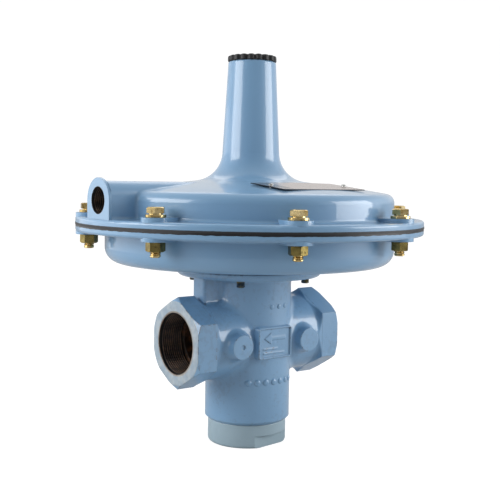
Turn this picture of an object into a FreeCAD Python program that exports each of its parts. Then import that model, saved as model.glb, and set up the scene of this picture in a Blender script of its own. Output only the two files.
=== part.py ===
import FreeCAD, Part
import math
import operator
import os
import Sketcher

# A pressure reducing valve for gas: a globe body with two female pipe ports, a cast
# diaphragm case on top of it and a tall spring tower. X runs along the pipe, with the
# inlet at +X and the outlet and the breather vent at -X. Each piece is drawn with
# height 0 at the joint between the two case halves, and its Placement lifts it so that
# the origin of the whole part is the centre of the bottom plug's underside.

DIMS = {
    # where the case joint lies above the underside of the plug
    "joint_height": 210.6,
    # diaphragm case, upper half
    "flange_radius": 165.0,
    "upper_flange_top": 6.5,
    "flange_round": 2.5,
    "upper_wall_radius": 137.2,
    "shoulder_height": 29.6,
    "shoulder_round": 9.0,
    "knee_radius": 112.0,
    "knee_height": 33.6,
    "knee_round": 400.0,
    "case_wall": 6.0,
    "chamber_radius": 131.2,
    "root_round": 3.0,
    # spring tower, cast in one with the upper half
    "tower_foot_radius": 28.5,
    "tower_foot_height": 43.5,
    "tower_fillet": 28.0,
    "tower_top_radius": 22.6,
    "tower_top": 153.3,
    "tower_edge": 1.5,
    "tower_bore": 18.3,
    "tower_bore_foot": 60.0,
    # vent boss and the ridge behind it
    "vent_face": 163.1,
    "vent_height": 22.45,
    "vent_boss_radius": 19.5,
    "vent_thread_radius": 11.74,
    "vent_thread_length": 20.0,
    "vent_passage_radius": 8.5,
    "vent_passage_end": 105.0,
    "vent_collar": 2.5,
    "ridge_half_width": 18.8,
    "ridge_top": 39.2,
    "ridge_round": 12.0,
    "ridge_end": 45.0,
    "ridge_blend": 3.0,
    # case bolts
    "bolt_circle": 152.9,
    "bolt_count": 8,
    "bolt_angle": 22.5,
    "bolt_pad_half_width": 12.1,
    "bolt_pad_round": 11.9,
    "bolt_pad_height": 3.5,
    "lower_pad_height": 2.5,
    "bolt_hole": 5.1,
    "bolt_shank": 4.75,
    "bolt_flats": 14.3,
    "bolt_head_height": 6.2,
    "bolt_tip": 23.0,
    "nut_height": 8.3,
    "lock_washer_radius": 8.8,
    "lock_washer_height": 2.4,
    # diaphragm case, lower half
    "lower_wall_radius": 138.0,
    "lower_flange_bottom": 7.5,
    "lower_corner_depth": 35.7,
    "lower_corner_round": 14.5,
    "lower_inner_round": 8.0,
    "pan_knee_radius": 71.0,
    "pan_knee_depth": 41.6,
    "pan_depth": 42.0,
    "pan_wall": 6.6,
    "pan_opening": 26.0,
    # the joint between case and valve body
    "body_gasket_thickness": 1.2,
    "body_flange_radius": 69.5,
    "body_flange_bottom": 49.4,
    "body_flange_round": 5.0,
    "body_bolt_circle": 54.5,
    "body_bolt_count": 4,
    "body_bolt_hole": 4.2,
    "body_bolt_shank": 3.95,
    "body_bolt_flats": 12.7,
    "body_bolt_head": 5.2,
    "body_bolt_tip": 56.0,
    "body_washer_radius": 8.2,
    "body_washer_thickness": 1.6,
    "impulse_offset": 49.0,
    "impulse_radius": 4.5,
    "impulse_depth": 90.0,
    # valve body
    "barrel_radius": 41.0,
    "barrel_bottom": 187.7,
    "barrel_chamfer": 2.5,
    "barrel_fillet": 5.0,
    "pipe_depth": 109.0,
    "neck_radius": 36.9,
    "port_face": 83.6,
    "port_hex_corners": 86.0,
    "port_hex_length": 20.5,
    "port_face_radius": 38.5,
    "port_bevel_length": 3.5,
    "port_thread_radius": 28.4,
    "port_thread_length": 26.0,
    "port_passage_radius": 25.0,
    "port_passage_end": 26.0,
    "rib_half_width": 9.5,
    "rib_face": 59.0,
    "rib_round": 3.0,
    "rib_bottom": 85.0,
    "boss_spacing": 39.6,
    "boss_depth": 110.0,
    "boss_face": 45.8,
    "boss_radius": 11.2,
    "boss_root_radius": 16.4,
    "boss_root": 15.8,
    "boss_dimple": 2.2,
    "boss_dimple_depth": 1.0,
    # chambers and bridge wall inside the body
    "guide_bore": 12.0,
    "ceiling_depth": 60.0,
    "chamber_bore": 30.0,
    "bridge_half_width": 20.0,
    "outlet_roof": 77.0,
    "bridge_top": 105.0,
    "bridge_bottom": 113.0,
    "inlet_floor": 141.0,
    "seat_thread": 17.0,
    "plug_thread": 33.3,
    "ledge_depth": 166.0,
    # seat and valve disc
    "seat_flange_radius": 19.0,
    "seat_bore": 12.0,
    "seat_top": 101.0,
    "seat_flange_bottom": 117.0,
    "seat_lip_radius": 13.6,
    "seat_lip": 1.5,
    "seat_gasket_thickness": 0.8,
    "travel": 9.0,
    "disc_gap": 0.3,
    "disc_thickness": 3.4,
    "disc_inner_radius": 9.0,
    "disc_outer_radius": 16.4,
    "holder_radius": 18.2,
    "holder_height": 10.0,
    "retainer_radius": 10.6,
    "retainer_height": 2.0,
    "holder_nut_flats": 17.0,
    "holder_nut_height": 5.0,
    # stem
    "stem_radius": 5.0,
    "stem_top": 16.0,
    "stem_bottom": 196.0,
    "stem_collar_radius": 7.5,
    "stem_collar_height": 3.0,
    "stem_fit": 0.05,
    "stem_chamfer": 0.8,
    "stem_nut_flats": 16.0,
    "stem_nut_height": 7.0,
    "guide_head_radius": 15.5,
    "guide_head_height": 3.0,
    "stem_seal_depth": 52.0,
    "stem_seal_section": 1.2,
    # diaphragm and its plates
    "diaphragm_radius": 165.3,
    "diaphragm_thickness": 1.8,
    "plates_drop": 4.5,
    "roll_outer_radius": 129.0,
    "roll_inner_radius": 109.0,
    "roll_height": 9.0,
    "roll_round": 6.0,
    "plate_radius": 104.0,
    "plate_thickness": 2.4,
    "plate_rim": 6.0,
    "plate_round": 4.0,
    # balancing diaphragm below the valve disc
    "balance_outer_radius": 33.0,
    "balance_thickness": 1.2,
    "balance_roll_outer": 28.0,
    "balance_roll_inner": 19.0,
    "balance_roll_depth": 7.0,
    "balance_piston_radius": 17.0,
    "balance_piston_height": 5.0,
    "balance_nut_flats": 17.0,
    "balance_nut_height": 5.0,
    # bottom plug
    "plug_radius": 37.8,
    "plug_shoulder": 188.0,
    "plug_round": 3.0,
    "plug_stub_radius": 33.0,
    "plug_stub_top": 167.4,
    "plug_bore": 27.5,
    "plug_floor": 200.0,
    "plug_post_radius": 11.0,
    "plug_post_top": 184.0,
    "plug_flat_distance": 31.8,
    "plug_flat_height": 12.0,
    "plug_flat_angle": 7.5,
    "plug_flat_count": 2,
    "bush_radius": 7.5,
    "bush_length": 14.0,
    "plug_seal_depth": 184.5,
    "plug_seal_section": 1.1,
    # control spring, its seats and the adjusting screw
    "lower_seat_radius": 19.0,
    "lower_seat_height": 4.0,
    "lower_seat_spigot": 11.6,
    "lower_seat_spigot_height": 6.0,
    "upper_seat_radius": 17.2,
    "upper_seat_bottom": 124.0,
    "upper_seat_height": 3.0,
    "upper_seat_spigot_length": 5.0,
    "spring_mean_radius": 14.4,
    "spring_wire": 2.1,
    "spring_turns": 8.5,
    "spring_end_gap": 0.3,
    "screw_radius": 18.1,
    "screw_height": 12.0,
    "screw_gap": 0.3,
    "screw_slot_width": 4.0,
    "screw_slot_depth": 4.0,
    "screw_centre_bore": 6.0,
    # seal cap
    "cap_radius": 23.2,
    "cap_underside": 153.7,
    "cap_top": 159.0,
    "cap_round": 1.2,
    "cap_plug_radius": 18.0,
    "cap_plug_length": 10.6,
    "cap_plug_wall": 3.0,
    "cap_flutes": 18,
    "cap_flute_radius": 2.4,
    "cap_flute_circle": 24.4,
    "cap_recess_radius": 15.0,
    "cap_recess_depth": 1.2,
    "gasket_inner_radius": 18.5,
    "gasket_outer_radius": 21.2,
    "gasket_thickness": 1.4,
    "gasket_gap": 0.1,
    # nameplate on the front of the dome
    "plate_half_length": 47.0,
    "plate_inner_edge": 62.0,
    "plate_outer_edge": 108.0,
    "plate_corner": 3.0,
    "plate_metal": 0.8,
    "plate_stand_off": 0.4,
    "pin_radius": 2.6,
    "pin_height": 1.4,
    "pin_shank": 1.3,
    "pin_depth": 4.0,
    "pin_spacing": 42.5,
    "pin_row": 85.0,
}

OPERATORS = {"+": operator.add, "-": operator.sub, "*": operator.mul, "/": operator.truediv}


class Size:
    """A length that carries both its number and the sheet formula that it comes from."""

    def __init__(self, value, formula):
        self.value = value
        self.formula = formula

    def __add__(self, other):
        return combine(self, "+", other)

    def __radd__(self, other):
        return combine(other, "+", self)

    def __sub__(self, other):
        return combine(self, "-", other)

    def __rsub__(self, other):
        return combine(other, "-", self)

    def __mul__(self, other):
        return combine(self, "*", other)

    def __rmul__(self, other):
        return combine(other, "*", self)

    def __truediv__(self, other):
        return combine(self, "/", other)

    def __neg__(self):
        return combine(0, "-", self)


def as_size(amount):
    if isinstance(amount, Size):
        return amount
    return Size(amount, repr(amount))


def combine(first, sign, second):
    left = as_size(first)
    right = as_size(second)
    value = OPERATORS[sign](left.value, right.value)
    return Size(value, f"({left.formula} {sign} {right.formula})")


class Sheet:
    """The spreadsheet of driving dimensions: dims.name gives the Size behind a cell."""

    def __init__(self, document, table):
        self.cells = document.addObject("Spreadsheet::Sheet", "Dims")
        for row, (name, value) in enumerate(table.items(), start=1):
            self.cells.set(f"A{row}", name)
            self.cells.set(f"B{row}", str(value))
            self.cells.setAlias(f"B{row}", name)
        document.recompute()

    def __getattr__(self, name):
        return Size(float(self.cells.get(name)), f"Dims.{name}")


doc = FreeCAD.newDocument("pressure_reducing_valve")
dims = Sheet(doc, DIMS)
subparts = []


def bind(thing, attribute, amount):
    """Sets a property to a Size and ties it to the sheet."""
    amount = as_size(amount)
    if "." not in attribute:
        setattr(thing, attribute, amount.value)
    thing.setExpression(attribute, amount.formula)


def lift(thing):
    """Places a finished sub-part in the frame of the whole valve."""
    bind(thing, "Placement.Base.z", dims.joint_height)


def new_body(label):
    body = doc.addObject("PartDesign::Body", label)
    body.Label = label
    body.AllowCompound = True
    return body


def keep(thing, label=None):
    """Marks an object as a sub-part of the valve and lifts it into place."""
    if label:
        thing.Label = label
    lift(thing)
    subparts.append(thing)
    return thing


def origin_feature(body, role):
    return next(f for f in body.Origin.OriginFeatures if f.Role == role)


def new_sketch(body, name, plane, height=None, turn=0):
    """A sketch on one of the body's origin planes, raised along the plane's normal."""
    sketch = body.newObject("Sketcher::SketchObject", name)
    sketch.AttachmentSupport = [(origin_feature(body, plane), "")]
    sketch.MapMode = "FlatFace"
    if turn:
        sketch.AttachmentOffset = FreeCAD.Placement(
            FreeCAD.Vector(), FreeCAD.Rotation(FreeCAD.Vector(0, 0, 1), as_size(turn).value)
        )
    if height is not None:
        bind(sketch, "AttachmentOffset.Base.z", height)
    return sketch


def pin(sketch, element, point, place):
    """Holds a point of the sketch at two distances from its origin."""
    for kind, amount in zip(("DistanceX", "DistanceY"), place):
        amount = as_size(amount)
        index = sketch.addConstraint(
            Sketcher.Constraint(kind, -1, 1, element, point, amount.value)
        )
        sketch.setExpression(f"Constraints[{index}]", amount.formula)


def bind_radius(sketch, element, radius):
    radius = as_size(radius)
    index = sketch.addConstraint(Sketcher.Constraint("Radius", element, radius.value))
    sketch.setExpression(f"Constraints[{index}]", radius.formula)


def draw_circle(sketch, x, y, radius):
    centre = FreeCAD.Vector(as_size(x).value, as_size(y).value, 0)
    normal = FreeCAD.Vector(0, 0, 1)
    element = sketch.addGeometry(Part.Circle(centre, normal, as_size(radius).value))
    pin(sketch, element, 3, (x, y))
    bind_radius(sketch, element, radius)


def rounding(before, corner, after, radius):
    """The arc of a given radius that is tangent to both edges at a corner."""
    back = (before - corner).normalize()
    ahead = (after - corner).normalize()
    half = back.getAngle(ahead) / 2
    start = corner + back * (radius / math.tan(half))
    end = corner + ahead * (radius / math.tan(half))
    bisector = (back + ahead).normalize()
    middle = corner + bisector * (radius / math.sin(half) - radius)
    return start, middle, end


def draw_outline(sketch, corners):
    """A closed outline. A corner is (x, y), or (x, y, radius) where it is rounded."""
    count = len(corners)
    places = [FreeCAD.Vector(as_size(c[0]).value, as_size(c[1]).value, 0) for c in corners]
    arcs = {}
    for i, corner in enumerate(corners):
        if len(corner) == 3:
            radius = as_size(corner[2]).value
            arcs[i] = rounding(places[i - 1], places[i], places[(i + 1) % count], radius)
    edges = []
    for i in range(count):
        j = (i + 1) % count
        start = arcs[i][2] if i in arcs else places[i]
        end = arcs[j][0] if j in arcs else places[j]
        edges.append(sketch.addGeometry(Part.LineSegment(start, end)))
    for i, corner in enumerate(corners):
        before = edges[i - 1]
        after = edges[i]
        if i not in arcs:
            sketch.addConstraint(Sketcher.Constraint("Coincident", before, 2, after, 1))
            pin(sketch, after, 1, corner[:2])
            continue
        arc = sketch.addGeometry(Part.Arc(*arcs[i]))
        # an arc always runs anticlockwise, so its ends are told apart by where they lie
        first = sketch.getPoint(arc, 1)
        start, end = (1, 2) if first.distanceToPoint(arcs[i][0]) < 1e-6 else (2, 1)
        tip = sketch.addGeometry(Part.Point(places[i]), True)
        sketch.addConstraint(Sketcher.Constraint("Tangent", before, 2, arc, start))
        sketch.addConstraint(Sketcher.Constraint("Tangent", after, 1, arc, end))
        sketch.addConstraint(Sketcher.Constraint("PointOnObject", tip, 1, before))
        sketch.addConstraint(Sketcher.Constraint("PointOnObject", tip, 1, after))
        pin(sketch, tip, 1, corner[:2])
        bind_radius(sketch, arc, corner[2])


def draw_hexagon(sketch, x, y, across_flats, pointed_up=False):
    """A regular hexagon held by its across-flats size."""
    turn = 90 if pointed_up else 0
    circle = across_flats / (2 * math.cos(math.pi / 6))
    corners = []
    for k in range(6):
        angle = math.radians(60 * k + turn)
        corners.append((x + circle * math.cos(angle), y + circle * math.sin(angle)))
    draw_outline(sketch, corners)


def settle(feature):
    """Recomputes and stops the build when a feature did not come out."""
    doc.recompute()
    if "Invalid" in feature.State or "Error" in feature.State:
        raise RuntimeError(f"{feature.Name} failed: {feature.getStatusString()}")
    return feature


def turned(body, name, corners, cut=False, plane="XZ_Plane"):
    """A solid of revolution about the valve's upright axis, or a turned cut."""
    sketch = new_sketch(body, name + "_outline", plane)
    draw_outline(sketch, corners)
    kind = "PartDesign::Groove" if cut else "PartDesign::Revolution"
    feature = body.newObject(kind, name)
    feature.Profile = sketch
    feature.ReferenceAxis = (sketch, ["V_Axis"])
    feature.Angle = 360
    return settle(feature)


def pad(body, name, sketch, length, back=False, both=False):
    feature = body.newObject("PartDesign::Pad", name)
    feature.Profile = sketch
    bind(feature, "Length", length)
    feature.Reversed = back
    feature.Midplane = both
    return settle(feature)


def pocket(body, name, sketch, depth, back=False, both=False):
    """Cuts a sketch away and stops if the cut took no material off."""
    before = body.Shape.Volume
    feature = body.newObject("PartDesign::Pocket", name)
    feature.Profile = sketch
    bind(feature, "Length", depth)
    feature.Reversed = back
    feature.Midplane = both
    settle(feature)
    if body.Shape.Volume > before - 1e-3:
        raise RuntimeError(f"{name} cut nothing")
    return feature


def around(body, name, features, count):
    """Repeats features evenly round the valve's upright axis."""
    pattern = body.newObject("PartDesign::PolarPattern", name)
    pattern.Originals = features
    pattern.Axis = (origin_feature(body, "Z_Axis"), [""])
    pattern.Angle = 360
    pattern.setExpression("Occurrences", count.formula)
    body.Tip = pattern
    return settle(pattern)


def edges_where(shape, test):
    """Names of the edges whose middle point passes a test."""
    names = []
    for number, edge in enumerate(shape.Edges, start=1):
        middle = edge.valueAt((edge.FirstParameter + edge.LastParameter) / 2)
        if test(edge, middle):
            names.append(f"Edge{number}")
    return names


def rounded(body, name, test, radius):
    """Rounds the edges of the body's last feature that pass a test."""
    base = body.Tip
    names = edges_where(base.Shape, test)
    fillet = body.newObject("PartDesign::Fillet", name)
    fillet.Base = (base, names)
    bind(fillet, "Radius", radius)
    return settle(fillet)


AXIS_FAR = 200  # well outside every piece, where a cut may start or end
joint_top = dims.diaphragm_thickness / 2
joint_bottom = -joint_top
gasket_top = -dims.pan_depth
body_top = gasket_top - dims.body_gasket_thickness
pipe_axis = -dims.pipe_depth


def bolt_pads(body, base, height, towards_top):
    """The pads under the case bolts, each with its hole, repeated round the flange."""
    start = base - 1 if towards_top else base + 1
    pads = new_sketch(body, "pad_outline", "XY_Plane", start, dims.bolt_angle)
    width = dims.bolt_pad_half_width
    outer = dims.bolt_circle + width
    inner = dims.upper_wall_radius - 1
    draw_outline(
        pads,
        [
            (inner, -width),
            (outer, -width, dims.bolt_pad_round),
            (outer, width, dims.bolt_pad_round),
            (inner, width),
        ],
    )
    boss = pad(body, "bolt_pad", pads, height + 1, back=not towards_top)
    hole = new_sketch(body, "hole_outline", "XY_Plane", 0, dims.bolt_angle)
    draw_circle(hole, dims.bolt_circle, 0, dims.bolt_hole)
    bore = pocket(body, "bolt_hole", hole, 4 * dims.lower_flange_bottom, both=True)
    around(body, "bolt_pads", [boss, bore], dims.bolt_count)


def draw_arch(sketch, half_width, crown, corner):
    """A flat-sided arch that stands on the case flange."""
    foot = joint_top + 1
    draw_outline(
        sketch,
        [
            (-half_width, foot),
            (half_width, foot),
            (half_width, crown, corner),
            (-half_width, crown, corner),
        ],
    )


def on_ridge_foot(edge, middle):
    """True on the edges where the vent ridge runs out on to the dome and the case wall."""
    inside = middle.x > -dims.upper_wall_radius.value - 1
    above_flange = middle.z > dims.upper_flange_top.value + 1
    beside = abs(middle.y) < dims.ridge_half_width.value + 1
    return inside and above_flange and beside and middle.x < -dims.ridge_end.value


def dome_slope():
    """How much the dome rises for each millimetre towards the axis."""
    rise = dims.tower_foot_height - dims.knee_height
    return rise / (dims.knee_radius - dims.tower_foot_radius)


def pin_level():
    """The height of the dome at the nameplate's drive pins."""
    radius = math.hypot(dims.pin_spacing.value, dims.pin_row.value)
    return dims.knee_height + (dims.knee_radius - radius) * dome_slope()


def upper_casing():
    body = new_body("upper_casing")
    turned(
        body,
        "shell",
        [
            (0, joint_top),
            (dims.flange_radius, joint_top),
            (dims.flange_radius, dims.upper_flange_top, dims.flange_round),
            (dims.upper_wall_radius, dims.upper_flange_top, dims.root_round),
            (dims.upper_wall_radius, dims.shoulder_height, dims.shoulder_round),
            (dims.knee_radius, dims.knee_height, dims.knee_round),
            (dims.tower_foot_radius, dims.tower_foot_height, dims.tower_fillet),
            (dims.tower_top_radius, dims.tower_top, dims.tower_edge),
            (0, dims.tower_top),
        ],
    )
    ridge = new_sketch(body, "ridge_outline", "YZ_Plane", dims.vent_collar - dims.vent_face)
    draw_arch(ridge, dims.ridge_half_width, dims.ridge_top, dims.ridge_round)
    pad(body, "vent_ridge", ridge, dims.vent_face - dims.vent_collar - dims.ridge_end)
    rounded(body, "ridge_blends", on_ridge_foot, dims.ridge_blend)
    collar = new_sketch(body, "collar_outline", "YZ_Plane", -dims.vent_face)
    reach = dims.vent_boss_radius
    draw_arch(collar, reach, dims.vent_height + reach, reach - 0.05)
    pad(body, "vent_collar", collar, dims.vent_collar)
    bolt_pads(body, dims.upper_flange_top, dims.bolt_pad_height, towards_top=True)
    wall = dims.case_wall
    turned(
        body,
        "chamber",
        [
            (0, joint_bottom),
            (dims.chamber_radius, joint_bottom),
            (dims.chamber_radius, dims.shoulder_height - wall, wall),
            (dims.knee_radius, dims.knee_height - wall),
            (dims.tower_foot_radius, dims.tower_foot_height - wall, dims.tower_edge),
            (dims.tower_bore, dims.tower_bore_foot, dims.tower_fillet),
            (dims.tower_bore, dims.tower_top + 1),
            (0, dims.tower_top + 1),
        ],
        cut=True,
    )
    pins = new_sketch(body, "pin_hole_outline", "XY_Plane", pin_level() - dims.pin_depth)
    for side in (-1, 1):
        draw_circle(pins, side * dims.pin_spacing, -dims.pin_row, dims.pin_shank + dims.stem_fit)
    pocket(body, "pin_holes", pins, 2 * dims.pin_depth, back=True)
    vent = new_sketch(body, "vent_thread_outline", "YZ_Plane", -dims.vent_face)
    draw_circle(vent, 0, dims.vent_height, dims.vent_thread_radius)
    pocket(body, "vent_thread", vent, dims.vent_thread_length, back=True)
    deep = new_sketch(body, "vent_passage_outline", "YZ_Plane", -dims.vent_face)
    draw_circle(deep, 0, dims.vent_height, dims.vent_passage_radius)
    pocket(body, "vent_passage", deep, dims.vent_face - dims.vent_passage_end, back=True)
    return keep(body)


def lower_casing():
    body = new_body("lower_casing")
    wall = dims.pan_wall
    turned(
        body,
        "shell",
        [
            (dims.pan_opening, -dims.pan_depth),
            (dims.pan_knee_radius, -dims.pan_depth, dims.root_round),
            (dims.pan_knee_radius + 4, -dims.pan_knee_depth, dims.root_round),
            (dims.lower_wall_radius, -dims.lower_corner_depth, dims.lower_corner_round),
            (dims.lower_wall_radius, -dims.lower_flange_bottom, dims.root_round),
            (dims.flange_radius, -dims.lower_flange_bottom, dims.flange_round),
            (dims.flange_radius, joint_bottom),
            (dims.chamber_radius, joint_bottom),
            (dims.chamber_radius, wall - dims.lower_corner_depth, dims.lower_inner_round),
            (dims.pan_knee_radius, wall - dims.pan_depth),
            (dims.pan_opening, wall - dims.pan_depth),
        ],
    )
    bolt_pads(body, -dims.lower_flange_bottom, dims.lower_pad_height, towards_top=False)
    holes = new_sketch(body, "body_bolt_outline", "XY_Plane", 0, 45)
    draw_circle(holes, dims.body_bolt_circle, 0, dims.body_bolt_hole)
    hole = pocket(body, "body_bolt_hole", holes, 3 * dims.pan_depth, both=True)
    around(body, "body_bolt_holes", [hole], dims.body_bolt_count)
    port = new_sketch(body, "impulse_outline", "XY_Plane", 0)
    draw_circle(port, -dims.impulse_offset, 0, dims.impulse_radius)
    pocket(body, "impulse_hole", port, 3 * dims.pan_depth, both=True)
    return keep(body)


def body_gasket():
    body = new_body("body_gasket")
    sketch = new_sketch(body, "gasket_outline", "XY_Plane", body_top)
    draw_circle(sketch, 0, 0, dims.body_flange_radius - 1)
    draw_circle(sketch, 0, 0, dims.guide_head_radius + 2)
    draw_circle(sketch, -dims.impulse_offset, 0, dims.impulse_radius)
    pad(body, "sheet", sketch, dims.body_gasket_thickness)
    holes = new_sketch(body, "body_bolt_outline", "XY_Plane", 0, 45)
    draw_circle(holes, dims.body_bolt_circle, 0, dims.body_bolt_hole)
    hole = pocket(body, "body_bolt_hole", holes, 3 * dims.pan_depth, both=True)
    around(body, "body_bolt_holes", [hole], dims.body_bolt_count)
    return keep(body)


def half_chamber(body, name, side, top, bottom):
    """The part of a chamber beside the bridge wall: a round bore with one flat side."""
    bore = dims.chamber_bore.value
    flat = dims.bridge_half_width.value
    sketch = new_sketch(body, name + "_outline", "XY_Plane", top)
    high = math.sqrt(bore**2 - flat**2)
    upper = FreeCAD.Vector(side * flat, high, 0)
    lower = FreeCAD.Vector(side * flat, -high, 0)
    far = FreeCAD.Vector(-side * bore, 0, 0)
    line = sketch.addGeometry(Part.LineSegment(lower, upper))
    arc = sketch.addGeometry(Part.Arc(lower, far, upper))
    start = 1 if sketch.getPoint(arc, 1).distanceToPoint(lower) < 1e-6 else 2
    sketch.addConstraint(Sketcher.Constraint("Coincident", line, 1, arc, start))
    sketch.addConstraint(Sketcher.Constraint("Coincident", line, 2, arc, 3 - start))
    sketch.addConstraint(Sketcher.Constraint("Coincident", arc, 3, -1, 1))
    sketch.addConstraint(Sketcher.Constraint("Vertical", line))
    bind_radius(sketch, arc, dims.chamber_bore)
    offset = dims.bridge_half_width if side > 0 else -dims.bridge_half_width
    index = sketch.addConstraint(
        Sketcher.Constraint("DistanceX", -1, 1, line, 1, offset.value)
    )
    sketch.setExpression(f"Constraints[{index}]", offset.formula)
    pocket(body, name, sketch, top - bottom)


def port(body, name, side):
    """One pipe port: its hexagon, its tapped bore and the passage to the chamber."""
    face = side * dims.port_face
    end = new_sketch(body, name + "_hexagon", "YZ_Plane", face)
    flats = dims.port_hex_corners * math.cos(math.pi / 6)
    draw_hexagon(end, 0, pipe_axis, flats, pointed_up=True)
    pad(body, name + "_end", end, dims.port_hex_length, back=side > 0)
    bevel = new_sketch(body, name + "_bevel_outline", "XZ_Plane")
    outside = dims.port_hex_corners
    draw_outline(
        bevel,
        [
            (face, pipe_axis + dims.port_face_radius),
            (face - side * dims.port_bevel_length, pipe_axis + dims.port_hex_corners / 2 + 1),
            (face - side * dims.port_bevel_length, pipe_axis + outside),
            (face + side * 1, pipe_axis + outside),
            (face + side * 1, pipe_axis + dims.port_face_radius),
        ],
    )
    axis = bevel.addGeometry(
        Part.LineSegment(
            FreeCAD.Vector(0, pipe_axis.value, 0), FreeCAD.Vector(face.value, pipe_axis.value, 0)
        ),
        True,
    )
    pin(bevel, axis, 1, (0, pipe_axis))
    pin(bevel, axis, 2, (face, pipe_axis))
    turned_face = body.newObject("PartDesign::Groove", name + "_bevel")
    turned_face.Profile = bevel
    turned_face.ReferenceAxis = (bevel, ["Axis0"])
    turned_face.Angle = 360
    settle(turned_face)


def bored_port(body, name, side):
    face = side * dims.port_face
    thread = new_sketch(body, name + "_thread_outline", "YZ_Plane", face)
    draw_circle(thread, 0, pipe_axis, dims.port_thread_radius)
    pocket(body, name + "_thread", thread, dims.port_thread_length, back=side < 0)
    passage = new_sketch(body, name + "_passage_outline", "YZ_Plane", face)
    draw_circle(passage, 0, pipe_axis, dims.port_passage_radius)
    depth = dims.port_face - dims.port_passage_end
    pocket(body, name + "_passage", passage, depth, back=side < 0)


def valve_body():
    body = new_body("valve_body")
    barrel = dims.barrel_radius
    turned(
        body,
        "barrel",
        [
            (0, body_top),
            (dims.body_flange_radius, body_top),
            (dims.body_flange_radius, -dims.body_flange_bottom, dims.body_flange_round),
            (barrel, -dims.body_flange_bottom, dims.barrel_fillet),
            (barrel, dims.barrel_chamfer - dims.barrel_bottom),
            (barrel - dims.barrel_chamfer, -dims.barrel_bottom),
            (0, -dims.barrel_bottom),
        ],
    )
    neck = new_sketch(body, "neck_outline", "YZ_Plane", 0)
    draw_circle(neck, 0, pipe_axis, dims.neck_radius)
    pad(body, "neck", neck, 2 * (dims.port_face - dims.port_hex_length / 2), both=True)
    port(body, "outlet", -1)
    port(body, "inlet", 1)
    rib = new_sketch(body, "rib_outline", "XY_Plane", -dims.body_flange_bottom + 1)
    draw_outline(
        rib,
        [
            (-dims.rib_face, -dims.rib_half_width, dims.rib_round),
            (-dims.barrel_radius / 2, -dims.rib_half_width),
            (-dims.barrel_radius / 2, dims.rib_half_width),
            (-dims.rib_face, dims.rib_half_width, dims.rib_round),
        ],
    )
    pad(body, "impulse_rib", rib, dims.rib_bottom - dims.body_flange_bottom, back=True)
    for side, name in ((-1, "outlet_boss"), (1, "inlet_boss")):
        tap = new_sketch(body, name + "_outline", "XZ_Plane", dims.boss_root)
        draw_circle(tap, side * dims.boss_spacing, -dims.boss_depth, dims.boss_root_radius)
        boss = pad(body, name, tap, dims.boss_face - dims.boss_root)
        slope = (dims.boss_root_radius - dims.boss_radius).value
        rise = (dims.boss_face - dims.boss_root).value
        boss.TaperAngle = -math.degrees(math.atan2(slope, rise))
        settle(boss)
    dimple = new_sketch(body, "dimple_outline", "XZ_Plane", dims.boss_face)
    draw_circle(dimple, -dims.boss_spacing, -dims.boss_depth, dims.boss_dimple)
    pocket(body, "boss_dimple", dimple, dims.boss_dimple_depth)
    turned(
        body,
        "guide_chamber",
        [
            (0, body_top + 1),
            (dims.guide_bore, body_top + 1),
            (dims.guide_bore, -dims.ceiling_depth),
            (dims.chamber_bore, -dims.ceiling_depth, dims.root_round),
            (dims.chamber_bore, -dims.outlet_roof),
            (0, -dims.outlet_roof),
        ],
        cut=True,
    )
    half_chamber(body, "outlet_chamber", 1, -dims.outlet_roof, -dims.bridge_top)
    half_chamber(body, "inlet_chamber", -1, -dims.bridge_bottom, -dims.inlet_floor)
    turned(
        body,
        "seat_bore",
        [
            (0, -dims.bridge_top + 1),
            (dims.seat_thread, -dims.bridge_top + 1),
            (dims.seat_thread, -dims.bridge_bottom - 1),
            (0, -dims.bridge_bottom - 1),
        ],
        cut=True,
    )
    turned(
        body,
        "plug_bore",
        [
            (0, -dims.inlet_floor),
            (dims.chamber_bore, -dims.inlet_floor),
            (dims.chamber_bore, -dims.ledge_depth),
            (dims.plug_thread, -dims.ledge_depth),
            (dims.plug_thread, -dims.barrel_bottom - 1),
            (0, -dims.barrel_bottom - 1),
        ],
        cut=True,
    )
    bored_port(body, "outlet", -1)
    bored_port(body, "inlet", 1)
    impulse = new_sketch(body, "impulse_outline", "XY_Plane", body_top)
    draw_circle(impulse, -dims.impulse_offset, 0, dims.impulse_radius)
    pocket(body, "impulse_passage", impulse, dims.impulse_depth + body_top)
    holes = new_sketch(body, "body_bolt_outline", "XY_Plane", 0, 45)
    draw_circle(holes, dims.body_bolt_circle, 0, dims.body_bolt_hole)
    hole = pocket(body, "body_bolt_hole", holes, 3 * dims.pan_depth, both=True)
    around(body, "body_bolt_holes", [hole], dims.body_bolt_count)
    return keep(body)


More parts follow.
